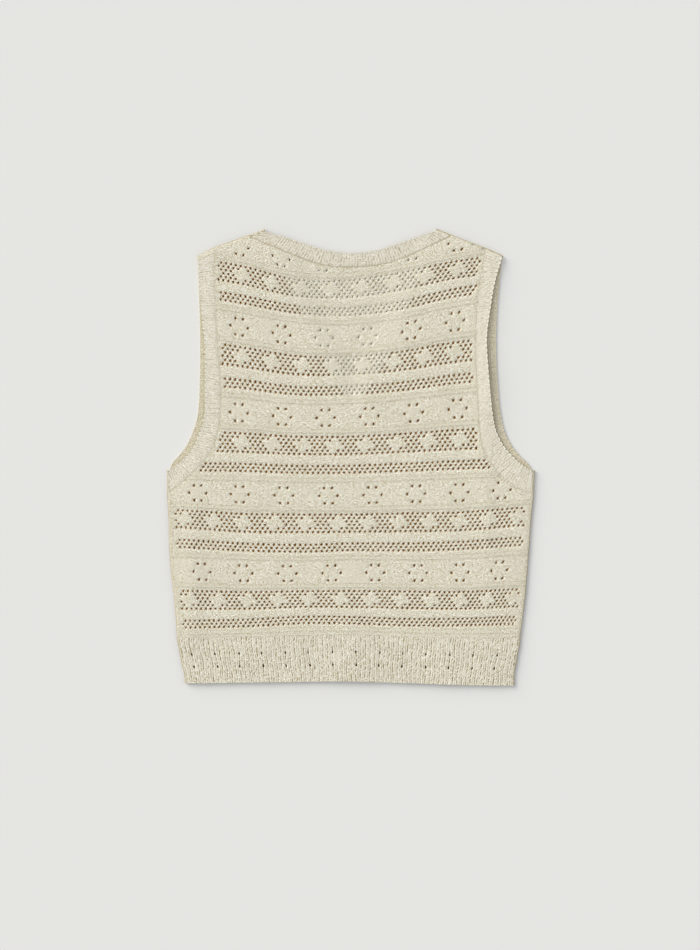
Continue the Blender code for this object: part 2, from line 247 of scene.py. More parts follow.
# %% The lattice of stitches
WALE_PLACES = (-71, -42, 0, 42, 71)
Wale = namedtuple("Wale", "course side_left quarter_left middle quarter_right side_right")
WALES = (
    Wale(0, -191.8, -114.0, 3.5, 118.5, 186.5),
    Wale(21, -195.0, -116.9, 3.8, 121.0, 192.0),
    Wale(63, -201.3, -122.3, 1.0, 120.0, 198.9),
    Wale(105, -204.0, -124.0, -3.0, 120.0, 202.5),
    Wale(147, -205.0, -124.0, -5.2, 114.5, 196.0),
    Wale(189, -203.5, -123.4, -7.2, 118.0, 200.0),
    Wale(214, -203.0, -123.0, -8.0, 118.0, 200.0),
)
ROW_PLACES = (-66, -42, -20, 0, 20, 42, 66)
Row = namedtuple("Row", "course side_left left near_left middle near_right right side_right")
ROWS = (
    Row(0, -202.5, -201.4, -199.7, -199.1, -200.2, -202.5, -203.0),
    Row(8, -186.8, -185.3, -181.9, -182.3, -184.5, -184.2, -182.3),
    Row(21, -159.3, -160.1, -158.7, -158.7, -159.3, -160.2, -157.6),
    Row(50, -96.5, -100.4, -101.9, -100.1, -100.4, -98.7, -94.2),
    Row(63, -68.4, -72.9, -73.5, -73.5, -72.4, -71.6, -66.2),
    Row(92, -10.7, -11.2, -13.5, -13.2, -11.2, -8.4, -6.2),
    Row(105, 19.6, 16.8, 13.7, 13.5, 16.3, 20.2, 23.0),
    Row(134, 86.9, 82.4, 74.6, 75.2, 79.1, 87.5, 93.7),
    Row(147, 123.9, 113.3, 103.8, 103.0, 107.9, 117.8, 125.1),
    Row(176, 187.9, 177.2, 166.0, 163.2, 169.6, 184.5, 193.5),
    Row(189, 215.9, 204.7, 190.1, 188.7, 196.9, 210.3, 219.3),
    Row(214, 268.6, 257.4, 241.7, 239.5, 247.3, 261.9, 270.9),
)


def lattice(table, places):
    """A table with a row for each course and a column for each stitch place, as a function of both."""
    up = smooth_rows(table)
    columns = np.column_stack([places, up[:, 1:].T])
    across = smooth_rows(columns)
    stitches, values, courses = across[:, 0], across[:, 1:], up[:, 0]

    def value(stitch, course):
        column = np.interp(stitch, stitches, np.arange(len(stitches)))
        row = np.interp(course, courses, np.arange(len(courses)))
        i = np.minimum(column.astype(int), len(stitches) - 2)
        j = np.minimum(row.astype(int), len(courses) - 2)
        a, b = column - i, row - j
        low = values[i, j] * (1 - a) + values[i + 1, j] * a
        high = values[i, j + 1] * (1 - a) + values[i + 1, j + 1] * a
        return low * (1 - b) + high * b

    return value


stitch_x = lattice(WALES, WALE_PLACES)
stitch_y = lattice(ROWS, ROW_PLACES)

# Courses with eyelets draw together and the plain ones between them spread.
REPEAT = 42               # courses after which the lace pattern starts again
Drawn = namedtuple("Drawn", "knitted lies")
DRAWN = (Drawn(0, 0.0), Drawn(6, 6.25), Drawn(10, 9.8), Drawn(16, 16.4), Drawn(26, 25.5), Drawn(42, 42.0))


def place_stitches(stitch, course):
    """Where points of the chart lie in plan, as arrays x and y."""
    repeats, within = np.divmod(course, REPEAT)
    knitted, lies = np.array(DRAWN).T
    lying = repeats * REPEAT + np.interp(within, knitted, lies)
    return stitch_x(stitch, lying), stitch_y(stitch, lying)


middle = np.array([0.0])
halfway_y = place_stitches(middle, middle + TOP_COURSE // 2)[1]
print("the course halfway up lies at y =", round(float(halfway_y[0]), 1), "mm")

# %% [markdown]
# ## How high the cloth lies
# The front lies flat on the floor. The back lies on it and rounds off towards the sides, and soft swells
# run through it where the cloth was smoothed down by hand. Each swell is one row of a table: a long, low
# hill with its own length, width and direction. The tallest one lifts the free edge of the right armhole,
# which throws the widest shadow. Such hills are made here instead of simulated, because a simulation
# would put them elsewhere. Inside the front's V nothing lies under the back, so there it sinks towards
# the floor.

# %% Heights
SIDE_DROP = 0.7           # how much lower the back lies at its sides
ARM_DROP = 0.2            # and at the free edges of its armholes
SIDE_ROUNDING = 11.0      # over this width
ARM_BLEND = 40.0          # height over which, above the underarm, the one gives way to the other
V_SAG = 2.4               # how far the back sinks inside the front's V
V_SLOPE = 38.0            # and how far in from the V's edge it has sunk all the way
V_BORDER = 6.0            # width over which the V's edge shows through the back's eyelets
SHOULDER_Y = 250.0        # where the shoulders hold the back up
SHOULDER_BLEND = 40.0     # and the height below it in which the back begins to sink
Swell = namedtuple("Swell", "x y length width turn rise")
SWELLS = (
    Swell(-176.0, -125.0, 105.0, 12.0, 88.0, 1.1),
    Swell(152.0, -58.0, 52.0, 11.0, 92.0, 0.9),
    Swell(157.0, 100.0, 80.0, 12.0, 89.0, 3.6),
    Swell(0.0, -150.0, 75.0, 16.0, 91.0, 0.6),
    Swell(2.0, -238.0, 30.0, 26.0, 90.0, 1.0),
    Swell(112.0, -236.0, 34.0, 24.0, 80.0, 0.9),
    Swell(-70.0, -205.0, 60.0, 14.0, 12.0, 0.35),
    Swell(-95.0, 150.0, 46.0, 15.0, 60.0, 0.35),
    Swell(60.0, 60.0, 80.0, 18.0, -14.0, 0.3),
    Swell(118.0, 205.0, 40.0, 14.0, 118.0, 0.4),
    Swell(-120.0, 212.0, 38.0, 13.0, 64.0, 0.4),
)
FRONT_SWELLS = (
    Swell(-120.0, -120.0, 70.0, 20.0, 80.0, 0.12),
    Swell(60.0, -60.0, 80.0, 18.0, 20.0, 0.12),
    Swell(130.0, -200.0, 60.0, 20.0, 95.0, 0.1),
)
back_edge_left = line_through(LEFT_ARMHOLE_BACK, "edge_y", "edge_x")
back_edge_right = line_through(RIGHT_ARMHOLE_BACK, "edge_y", "edge_x")
v_left = line_through(NECK_FRONT_LEFT, "edge_y", "edge_x")
v_right = line_through(NECK_FRONT_RIGHT, "edge_y", "edge_x")


def swelling(swells, x, y):
    """How far all of a layer's swells together lift places in plan."""
    total = np.zeros_like(x)
    for swell in swells:
        turn = math.radians(swell.turn)
        along = (x - swell.x) * math.cos(turn) + (y - swell.y) * math.sin(turn)
        beside = (y - swell.y) * math.cos(turn) - (x - swell.x) * math.sin(turn)
        total += swell.rise * np.exp(-(along / swell.length) ** 2 - (beside / swell.width) ** 2)
    return total


def v_share(x, y, border):
    """How far inside the front's V places are: 0 outside it, and 1 further in than the border's width."""
    return np.clip(np.minimum(x - v_left(y), v_right(y) - x) / border, 0.0, 1.0)


def cloth_height(layer, x, y):
    """The height of the middle of the cloth's wall at places in plan."""
    if layer == FRONT:
        return LOWER_MIDDLE + swelling(FRONT_SWELLS, x, y)
    underarm = SIDES[-1].height
    left = np.where(y < underarm, left_side(y), back_edge_left(y))
    right = np.where(y < underarm, right_side(y), back_edge_right(y))
    from_side = np.maximum(np.minimum(x - left, right - x), 0.0)
    above_underarm = np.clip((y - underarm) / ARM_BLEND, 0.0, 1.0)
    drop = (SIDE_DROP + (ARM_DROP - SIDE_DROP) * above_underarm) * np.exp(-(from_side / SIDE_ROUNDING) ** 2)
    inside_v = v_share(x, y, V_SLOPE)
    below_shoulder = np.clip((SHOULDER_Y - y) / SHOULDER_BLEND, 0.0, 1.0)
    sag = V_SAG * (3 * inside_v ** 2 - 2 * inside_v ** 3) * below_shoulder
    return UPPER_MIDDLE - drop - sag + swelling(SWELLS, x, y)


def crest_height(x, y):
    """The height halfway between the two layers, where a fold has its crest."""
    return (cloth_height(BACK, x, y) + cloth_height(FRONT, x, y)) / 2


print("back is", round(float(cloth_height(BACK, middle, middle)[0]), 2), "mm up at the middle")

# %% [markdown]
# ## The lace chart
# The pattern repeats every 42 courses. Counted up from the lowest row of the narrow band: three rows of
# eyelets in quincunx, a plain stretch, six rows of eyelets that leave out solid diamonds, and a wider
# plain stretch with a ring of six eyelets in every 17 stitches. A chart like this is how a knitter reads
# lace, so the script keeps it as a chart: rows of a repeat, with the stitches that stay closed.

# %% Lace chart
FIRST_COURSE = 6          # course of the lowest narrow band's first row
BAND_ROW = 2              # courses from one row of eyelets to the next
NARROW_ROWS = 3
WIDE_START = 10           # course of the wide band's first row within a repeat
DIAMOND_REPEAT = 12
RING_START = 30           # course of the middle of a ring of eyelets within a repeat
RING_REPEAT = 17
RINGS = 8                 # rings beside each other
SIDE_CLEAR = 2            # plain stitches beside a side fold
ChartRow = namedtuple("ChartRow", "parity closed")
WIDE_BAND = (
    ChartRow(1, ()),
    ChartRow(0, (0,)),
    ChartRow(1, (-1, 1, 3)),
    ChartRow(0, (-2, 0, 2)),
    ChartRow(1, (1,)),
    ChartRow(0, ()),
)
Ring = namedtuple("Ring", "across up")
RING = (
    Ring(-1.5, 4),
    Ring(1.5, 4),
    Ring(-3.5, 0),
    Ring(3.5, 0),
    Ring(-1.5, -4),
    Ring(1.5, -4),
)


def eyelet_chart():
    """All eyelets of a full panel, as {(stitch, course): side of its ring, or 0 outside the rings}."""
    found = {}
    last = HALF_STITCHES - SIDE_CLEAR
    stitches = range(-last, last + 1)
    for start in range(FIRST_COURSE, TOP_COURSE, REPEAT):
        for row in range(NARROW_ROWS):
            for stitch in stitches:
                if stitch % 2 == row % 2:
                    found[stitch, start + row * BAND_ROW] = 0
        for row, chart_row in enumerate(WIDE_BAND):
            for stitch in stitches:
                place = stitch % DIAMOND_REPEAT - DIAMOND_REPEAT // 2
                if stitch % 2 == chart_row.parity and place not in chart_row.closed:
                    found[stitch, start + WIDE_START + row * BAND_ROW] = 0
        for number in range(RINGS):
            centre = (number - (RINGS - 1) / 2) * RING_REPEAT
            for hole in RING:
                side = 1 if hole.across > 0 else -1
                found[round(centre + hole.across), start + RING_START + hole.up] = side
    return {place: side for place, side in sorted(found.items()) if place[1] < TOP_COURSE - 1}


EYELETS = eyelet_chart()
print(len(EYELETS), "eyelets in a full chart")

# %% [markdown]
# ## The line round a panel
# A panel ends in two ways. Along the sides and shoulders it folds over to the other panel, so there its
# grid stops short of the outline by the fold's reach and gets a rounded strip. Everywhere else it is sewn
# to a rib band or to the hem, and its edge follows the seam. The line round a panel is put together from
# the tables, in points about half a millimetre apart, with the outward direction of the fold at each
# point and zero on a sewn edge.

# %% Lines round the panels
POINT_SPACING = 0.5
SIDE_POINTS = 200         # points along a side fold, before they are spread evenly


def even_points(points, spacing=POINT_SPACING):
    """The same line with its points about evenly spaced."""
    points = np.array(points, float)
    steps = np.linalg.norm(np.diff(points[:, :2], axis=0), axis=1)
    along = np.concatenate([[0.0], np.cumsum(steps)])
    places = np.linspace(0.0, along[-1], max(int(round(along[-1] / spacing)), 1) + 1)
    return np.column_stack([np.interp(places, along, column) for column in points.T])


def shoulder_inward(armhole, neck):
    """The direction from a shoulder's fold into the garment."""
    along = np.array([neck.edge_x - armhole.edge_x, neck.edge_y - armhole.edge_y])
    across = np.array([along[1], -along[0]]) / np.linalg.norm(along)
    return across if across[1] < 0 else -across


LEFT_IN = np.array([1.0, 0.0])
RIGHT_IN = np.array([-1.0, 0.0])
NO_FOLD = np.array([0.0, 0.0])
LEFT_SHOULDER_IN = shoulder_inward(LEFT_ARMHOLE_BACK[0], NECK_BACK[0])
RIGHT_SHOULDER_IN = shoulder_inward(RIGHT_ARMHOLE_BACK[0], NECK_BACK[-1])


def band_sections(table, start_in, end_in):
    """Rows of edge_x, edge_y, seam_x, seam_y along a band, between the folds at its ends."""
    rows = np.array(table, float)
    rows[0] += np.tile(start_in, 2) * FOLD_REACH
    rows[-1] += np.tile(end_in, 2) * FOLD_REACH
    return smooth_rows(rows)


LEFT_BACK = band_sections(LEFT_ARMHOLE_BACK, LEFT_SHOULDER_IN, LEFT_IN)
LEFT_FRONT = band_sections(LEFT_ARMHOLE_FRONT, LEFT_SHOULDER_IN, LEFT_IN)
RIGHT_BACK = band_sections(RIGHT_ARMHOLE_BACK, RIGHT_SHOULDER_IN, RIGHT_IN)
RIGHT_FRONT = band_sections(RIGHT_ARMHOLE_FRONT, RIGHT_SHOULDER_IN, RIGHT_IN)
NECK_OF_BACK = band_sections(NECK_BACK, LEFT_SHOULDER_IN, RIGHT_SHOULDER_IN)
NECK_OF_FRONT = np.concatenate([
    band_sections(NECK_FRONT_LEFT, LEFT_SHOULDER_IN, NO_FOLD)[:-1],
    band_sections(NECK_FRONT_RIGHT, NO_FOLD, RIGHT_SHOULDER_IN),
])


def panel_outline(left_armhole, right_armhole, neck):
    """Rows of x, y, outward x, outward y round a panel, from the hem's left corner on anticlockwise."""
    hem = smooth_rows(HEM)
    left_corner = left_side(hem[0, 1]) + FOLD_REACH
    right_corner = right_side(hem[-1, 1]) - FOLD_REACH
    hem_x = left_corner + (right_corner - left_corner) * hem[:, 0]
    right_y = np.linspace(hem[-1, 1], right_armhole[-1, 3], SIDE_POINTS)
    left_y = np.linspace(left_armhole[-1, 3], hem[0, 1], SIDE_POINTS)
    parts = (
        (np.column_stack([hem_x, hem[:, 1]]), NO_FOLD),
        (np.column_stack([right_side(right_y) - FOLD_REACH, right_y]), -RIGHT_IN),
        (right_armhole[::-1, 2:], NO_FOLD),
        (np.array([right_armhole[0, 2:], neck[-1, 2:]]), -RIGHT_SHOULDER_IN),
        (neck[::-1, 2:], NO_FOLD),
        (np.array([neck[0, 2:], left_armhole[0, 2:]]), -LEFT_SHOULDER_IN),
        (left_armhole[:, 2:], NO_FOLD),
        (np.column_stack([left_side(left_y) + FOLD_REACH, left_y]), -LEFT_IN),
    )
    rows = []
    for points, outward in parts:
        points = even_points(points)
        rows.append(np.column_stack([points, np.tile(outward, (len(points), 1))]))
    return np.concatenate(rows)


BACK_OUTLINE = panel_outline(LEFT_BACK, RIGHT_BACK, NECK_OF_BACK)
FRONT_OUTLINE = panel_outline(LEFT_FRONT, RIGHT_FRONT, NECK_OF_FRONT)


def flat_area(outline):
    """The area inside a closed line, by the shoelace rule, in square metres."""
    x, y = outline[:, 0], outline[:, 1]
    return abs(np.sum(x * np.roll(y, -1) - y * np.roll(x, -1))) / 2 * MM ** 2


for side, outline in (("back", BACK_OUTLINE), ("front", FRONT_OUTLINE)):
    print(side, round(flat_area(outline), 4), "square metres")

# %% [markdown]
# ## From chart to cloth
# Each piece starts as a flat grid whose coordinates are stitches and courses, not millimetres. Eyelets
# are opened while it is still a chart: a vertex is dissolved, which joins its four faces into one, that
# face is inset, the inset is bent into a leaning ellipse and its middle taken out. Boolean cutters would
# do the same, but slowly, and would leave ragged triangles. Layers of numbers on the vertices remember
# the chart, which becomes the UV map for the stitches, how much each place is an eyelet's rim, and how
# much painted shade it takes: painted shade in a groove, seam or fold, and painted warm shade round an
# eyelet for light from inside the garment.

# %% Chart grids and eyelets
random_knit = random.Random(42)
Eyelet = namedtuple("Eyelet", "across up lean wide high")    # a chart place, an angle and half sizes in mm
STITCH_WIDE = 2.9
COURSE_HIGH = 2.15
EYELET_WIDE = 0.72        # half of a lace eyelet's width
EYELET_HIGH = 1.62        # and of its height
INSET = 0.2               # chart units from the outline of four joined faces to the first, square opening
JOINED_CORNERS = 8        # corners of four joined faces
# The last two layers hold painted shade: in grooves, seams and folds, and warm round the eyelets.
LAYERS = ("chart_x", "chart_y", "rim", "painted_shade", "painted_rim_shade")


def chart_grid(columns, rows, left=0.0):
    """A grid of faces one chart unit wide and high."""
    sheet = bmesh.new()
    bmesh.ops.create_grid(sheet, x_segments=columns, y_segments=rows, size=0.5)
    bmesh.ops.translate(sheet, vec=(0.5, 0.5, 0.0), verts=sheet.verts)
    bmesh.ops.scale(sheet, vec=(columns, rows, 1.0), verts=sheet.verts)
    bmesh.ops.translate(sheet, vec=(left, 0.0, 0.0), verts=sheet.verts)
    for layer_name in LAYERS:
        sheet.verts.layers.float.new(layer_name)
    return sheet


def spot(place):
    """A place in the chart, rounded so that it can be looked up."""
    return round(place[0], 2), round(place[1], 2)


def open_eyelets(sheet, eyelets, unit_wide, unit_high):
    """Opens a leaning hole round each named vertex of a chart grid."""
    by_place = {spot(vertex.co): vertex for vertex in sheet.verts}
    rim = sheet.verts.layers.float["rim"]
    holes = {}
    for eyelet in eyelets:
        vertex = by_place.get(spot(eyelet))
        if vertex and not any(edge.is_boundary for face in vertex.link_faces for edge in face.edges):
            holes[vertex] = eyelet
    centres = {spot(vertex.co): eyelet for vertex, eyelet in holes.items()}
    bmesh.ops.dissolve_verts(sheet, verts=list(holes))
    octagons = [face for face in sheet.faces if len(face.verts) == JOINED_CORNERS]
    bmesh.ops.inset_individual(sheet, faces=octagons, thickness=INSET)
    for face in octagons:
        centre = face.calc_center_bounds()
        eyelet = centres[spot(centre)]
        for vertex in face.verts:
            x = (vertex.co.x - centre.x) * unit_wide
            y = (vertex.co.y - centre.y) * unit_high
            angle = math.atan2(y, x)
            off_axis = angle + eyelet.lean
            radius = 1 / math.hypot(math.cos(off_axis) / eyelet.wide, math.sin(off_axis) / eyelet.high)
            vertex.co.x = centre.x + radius * math.cos(angle) / unit_wide
            vertex.co.y = centre.y + radius * math.sin(angle) / unit_high
            vertex[rim] = 1.0
    bmesh.ops.delete(sheet, geom=octagons, context="FACES_ONLY")
    return len(octagons)


def remember_chart(sheet):
    """Writes each vertex's chart place to its layers, and returns all places and rim marks as arrays."""
    layers = sheet.verts.layers.float
    across, up, rim = layers["chart_x"], layers["chart_y"], layers["rim"]
    for vertex in sheet.verts:
        vertex[across], vertex[up] = vertex.co.x, vertex.co.y
    places = np.array([vertex.co[:2] for vertex in sheet.verts])
    return np.round(places, 3), np.array([vertex[rim] for vertex in sheet.verts])


trial = chart_grid(4, 4)
opened = open_eyelets(trial, [Eyelet(2, 2, 0.0, EYELET_WIDE, EYELET_HIGH)], STITCH_WIDE, COURSE_HIGH)
print("a trial grid of 16 faces has", len(trial.faces), "faces after", opened, "eyelet")
trial.free()

# %% [markdown]
# ## Finishing a piece
# Every piece ends the same way: its chart becomes the UV map, its public side faces outward, and a
# Solidify modifier gives the knit its thickness. Round the eyelets the yarn is thinner than two crossing
# loops, so there a vertex group thins the wall. The cloth is shaded smooth, but the edges of a wall are
# marked sharp: with smooth shading there too, every strand of the lace would turn away from the light and
# look dirty.

# %% Finishing
RIM_WALL = 0.35           # wall round an eyelet, as a share of the knit's wall


def mark(sheet, layer_name, amounts):
    """Remembers an amount from 0 to 1 for each vertex, which the yarn's colour reads as painted shade."""
    layer = sheet.verts.layers.float[layer_name]
    for vertex, amount in zip(list(sheet.verts), amounts):
        vertex[layer] = amount


def lay_out(sheet, x, y, z):
    """Moves each vertex from its place in the chart to its place on the vest."""
    for vertex, place in zip(list(sheet.verts), zip(x, y, z)):
        vertex.co = place


def new_object(name, sheet):
    """Hands a bmesh over to a new object, which sits at the origin."""
    mesh = bpy.data.meshes.new(name)
    sheet.to_mesh(mesh)
    sheet.free()
    made = bpy.data.objects.new(name, mesh)
    bpy.context.scene.collection.objects.link(made)
    return made


def finish_piece(name, sheet, layer_up, stitch_columns=1.0, first_column=0.0):
    """Turns a sheet in millimetres into a solid piece of knit."""
    layers = sheet.verts.layers.float
    across, up, rim = layers["chart_x"], layers["chart_y"], layers["rim"]
    stitches = sheet.loops.layers.uv.new("stitches")
    for face in sheet.faces:
        for loop in face.loops:
            loop[stitches].uv = ((loop.vert[across] - first_column) / stitch_columns, loop.vert[up])
    bmesh.ops.recalc_face_normals(sheet, faces=sheet.faces)
    top = max(sheet.faces, key=lambda face: layer_up * face.calc_center_median().z)
    sheet.normal_update()
    if top.normal.z * layer_up < 0:
        bmesh.ops.reverse_faces(sheet, faces=sheet.faces)
    for face in sheet.faces:
        face.smooth = True
    for edge in sheet.edges:
        edge.smooth = not edge.is_boundary
    firm = sheet.verts.layers.deform.new("firm")
    for vertex in sheet.verts:
        vertex[firm][0] = 1.0 - vertex[rim]
    for layer_name in ("chart_x", "chart_y"):
        sheet.verts.layers.float.remove(sheet.verts.layers.float[layer_name])
    bmesh.ops.scale(sheet, vec=(MM, MM, MM), verts=sheet.verts)
    piece = new_object(name + "_knit", sheet)
    piece.vertex_groups.new(name="firm")
    wall = piece.modifiers.new("wall", "SOLIDIFY")
    wall.thickness = WALL * MM
    wall.offset = 0.0
    wall.vertex_group = "firm"
    wall.thickness_vertex_group = RIM_WALL
    wall.material_offset = 1
    return piece


def count_triangles(piece):
    """The triangles of a piece with its modifiers applied."""
    shaped = piece.evaluated_get(bpy.context.evaluated_depsgraph_get())
    finished = shaped.to_mesh()
    triangles = sum(len(polygon.vertices) - 2 for polygon in finished.polygons)
    shaped.to_mesh_clear()
    return triangles


print("the wall is", WALL, "mm thick, and", round(WALL * RIM_WALL, 2), "mm round an eyelet")

# %% [markdown]
# ## The two lace panels
# Back and front are the same knit with different necks. The front's lace lies one stitch beside the
# back's, so that the holes don't line up and the inside of the front shows through the back. Each panel's
# grid is laid in place by the lattice, the stitches outside its line are cut away, its edge stitches are
# drawn onto the line, and its side and shoulder edges are extruded round the fold in three steps. The
# purl ridges that frame the lace bands are single courses that stand a little proud.

# %% Edge and surface helpers
FOLD_STEPS = 3
FOLD_STOP = 0.96          # share of a quarter turn, which leaves a fine seam line on the crest
LINE_STRIDE = 4           # every fourth point of a line is enough to tell inside from outside
BATCH = 500               # points that are measured at a time, to save memory
RIPPLE_COUNT = 9
RIPPLE_LENGTHS = (14.0, 48.0)
RIPPLE_RISE = 0.05
Ripple = namedtuple("Ripple", "length turn phase")


def random_ripple():
    """A faint wave of random length and direction."""
    length = random_knit.uniform(*RIPPLE_LENGTHS)
    turn = random_knit.uniform(0, math.pi)
    return Ripple(length, turn, random_knit.uniform(0, math.tau))


RIPPLES = [random_ripple() for _ in range(RIPPLE_COUNT)]


def uneven(x, y):
    """The small unevenness of hand-smoothed cloth."""
    total = np.zeros_like(x)
    for ripple in RIPPLES:
        along = x * math.cos(ripple.turn) + y * math.sin(ripple.turn)
        total += RIPPLE_RISE * np.sin(along * math.tau / ripple.length + ripple.phase)
    return total


def inside_line(x, y, line):
    """Whether points lie inside a closed line: a ray from such a point crosses it an odd number of times."""
    corners = line[::LINE_STRIDE, :2]
    inside = np.zeros(len(x), bool)
    for (x0, y0), (x1, y1) in zip(corners, np.roll(corners, -1, axis=0)):
        if y0 != y1:
            inside ^= ((y0 > y) != (y1 > y)) & (x < (x1 - x0) * (y - y0) / (y1 - y0) + x0)
    return inside


def nearest_on_line(x, y, line):
    """For each point the nearest row of the line, and how far it is."""
    found = np.empty(len(x), int)
    for start in range(0, len(x), BATCH):
        part = slice(start, start + BATCH)
        off_x = x[part, None] - line[None, :, 0]
        off_y = y[part, None] - line[None, :, 1]
        found[part] = np.argmin(off_x ** 2 + off_y ** 2, axis=1)
    return found, np.hypot(x - line[found, 0], y - line[found, 1])


def stray(count, reach):
    """A small, random amount for each of some stitches."""
    return np.array([random_knit.gauss(0.0, reach) for _ in range(count)])


def lay_flat(layer, z):
    """Keeps the lower layer's underside flat on the floor."""
    return np.maximum(z, LOWEST_MIDDLE) if layer == FRONT else z


def fold_angle(step):
    """How far a fold has turned after some of its steps."""
    return step / FOLD_STEPS * FOLD_STOP * math.pi / 2


print("a fold turns by", round(math.degrees(fold_angle(1)), 1), "degrees at each step")

# %% Eyelets that stay open on a panel
FRONT_SHIFT = 1           # stitches by which the front's lace lies beside the back's
SEWN_CLEAR = 3.2          # eyelets nearer than this to a sewn edge stay closed
FOLD_CLEAR = 1.6          # and those nearer than this to a fold
V_DRAWN = 0.1             # share by which eyelets close where the cloth sinks inside the V
LEAN = math.radians(24)
LEAN_SHARES = (0.2, 1.6)  # an eyelet leans by at least and at most this much of it
LEAN_OUTWARD = 0.72       # share of the eyelets outside the rings that lean to their side of the panel
SIZE_SHARES = (0.8, 1.14)
RING_SIZE = 1.05          # a ring's eyelets are a little larger
SIDE_STITCHES = 8         # this near to a side the cloth is drawn in
SIDE_SIZE = 0.8           # and its eyelets are smaller


def panel_eyelets(layer, line):
    """The eyelets inside a panel's line and clear of its edges, each with its own size and lean."""
    shift = FRONT_SHIFT if layer == FRONT else 0
    places = np.array(list(EYELETS), float)
    x, y = place_stitches(places[:, 0] + shift, places[:, 1])
    nearest, clear = nearest_on_line(x, y, line)
    needed = np.where(line[nearest, 2:].any(axis=1), FOLD_CLEAR, SEWN_CLEAR)
    open_ones = inside_line(x, y, line) & (clear > needed)
    drawn = 1.0 - V_DRAWN * v_share(x, y, V_BORDER)
    eyelets = []
    for (stitch, course), side, is_open, share in zip(EYELETS, EYELETS.values(), open_ones, drawn):
        lean_side = side or (1 if stitch > 0 else -1) * (1 if random_knit.random() < LEAN_OUTWARD else -1)
        lean = lean_side * LEAN * random_knit.uniform(*LEAN_SHARES)
        size = random_knit.uniform(*SIZE_SHARES) * share * (RING_SIZE if side else 1.0)
        if abs(stitch) > HALF_STITCHES - SIDE_STITCHES:
            size *= SIDE_SIZE
        if is_open:
            eyelets.append(Eyelet(stitch + shift, course, lean, EYELET_WIDE * size, EYELET_HIGH * size))
    return eyelets


print(len(panel_eyelets(BACK, BACK_OUTLINE)), "eyelets open on the back")


# %% Folding over
FOLD_SHADE = 0.85          # how much painted shade the cloth takes round a fold, from 0 to 1
FOLD_STITCHES = 0.35      # stitches that a step of a fold takes up
FOLD_COURSES = 0.45       # and courses, at a shoulder
print("a side fold takes up", round(FOLD_STEPS * FOLD_STITCHES, 2), "stitches")


def fold_over(sheet, base, outward):
    """Extrudes a panel's folding edges in steps round a quarter turn, towards the other layer, with painted
    shade growing round the turn.
    """
    layers = sheet.verts.layers.float
    across, up, painted_shade = layers["chart_x"], layers["chart_y"], layers["painted_shade"]
    edges = [e for e in sheet.edges if e.is_boundary and all(v in outward for v in e.verts)]
    for step in range(1, FOLD_STEPS + 1):
        angle = fold_angle(step)
        grown = bmesh.ops.extrude_edge_only(sheet, edges=edges)["geom"]
        fresh = {part for part in grown if isinstance(part, bmesh.types.BMVert)}
        edges = [e for e in grown if isinstance(e, bmesh.types.BMEdge) and all(v in fresh for v in e.verts)]
        for vertex in fresh:
            neighbours = [edge.other_vert(vertex) for edge in vertex.link_edges]
            source = next(neighbour for neighbour in neighbours if neighbour not in fresh)
            base[vertex], outward[vertex] = base[source], outward[source]
            x, y, z, crest = base[vertex]
            out_x, out_y = outward[vertex]
            reach = FOLD_REACH * math.sin(angle)
            vertex.co = (x + out_x * reach, y + out_y * reach, crest + (z - crest) * math.cos(angle))
            vertex[across] = source[across] + out_x * FOLD_STITCHES
            vertex[up] = source[up] + out_y * FOLD_COURSES
            # painted shade round the fold, darker at each step
            vertex[painted_shade] = max(vertex[painted_shade], FOLD_SHADE * step / FOLD_STEPS)


# %% Panel shape
PURL_COURSES = (1, 3, 29, 44, 71, 86, 113, 128, 155, 170, 197)
PURL_TROUGHS = tuple(course + side for course in PURL_COURSES for side in (-1, 1))
PURL_RELIEF = 0.5         # how far a purl ridge stands out
TROUGH_DEPTH = 0.2        # and how deep the courses beside it lie
RIM_SINK = 0.45           # how far the cloth curves down into an eyelet
STRAND_RISE = 0.35        # and how far the strands between two eyelets stand up
print("purl ridges on", len(PURL_COURSES), "courses")


def cut_grid(line):
    """A panel's grid without the stitches that lie outside its line."""
    sheet = chart_grid(2 * HALF_STITCHES, TOP_COURSE, left=-HALF_STITCHES)
    centres = np.array([face.calc_center_median()[:2] for face in sheet.faces])
    kept = inside_line(*place_stitches(centres[:, 0], centres[:, 1]), line)
    cut_away = [face for face, keep in zip(sheet.faces, kept) if not keep]
    bmesh.ops.delete(sheet, geom=cut_away, context="FACES")
    return sheet


def draw_onto_line(x, y, edge_index, line):
    """Moves a panel's edge stitches onto its line, and returns the way out for each one on a fold."""
    nearest, _ = nearest_on_line(x[edge_index], y[edge_index], line)
    x[edge_index], y[edge_index] = line[nearest, 0], line[nearest, 1]
    ways = {i: line[row, 2:] for i, row in zip(edge_index, nearest) if line[row, 2:].any()}
    folding = line[:, 2:].any(axis=1)
    for row in np.flatnonzero(folding != np.roll(folding, 1)):
        row = row if folding[row] else row - 1
        distance = np.hypot(x[edge_index] - line[row, 0], y[edge_index] - line[row, 1])
        corner = edge_index[np.argmin(distance)]
        x[corner], y[corner], ways[corner] = line[row, 0], line[row, 1], line[row, 2:]
    return ways


def panel_relief(chart, rim, eyelets):
    """How far each stitch stands out of the cloth."""
    strands = {(eyelet.across + side, eyelet.up) for eyelet in eyelets for side in (-1, 1)}
    on_strand = np.array([tuple(place) in strands for place in chart])
    purls = PURL_RELIEF * np.isin(chart[:, 1], PURL_COURSES)
    troughs = TROUGH_DEPTH * np.isin(chart[:, 1], PURL_TROUGHS)
    return purls - troughs + STRAND_RISE * on_strand - RIM_SINK * rim


def seam_depth(x, y, sections, reach):
    """How near points lie to the seam of a band, which sinks them and gives them painted shade: 1 on it, and
    nearly 0 at twice the reach.
    """
    _, distance = nearest_on_line(x, y, even_points(sections[:, 2:], 2 * POINT_SPACING))
    return np.exp(-(distance / reach) ** 2)


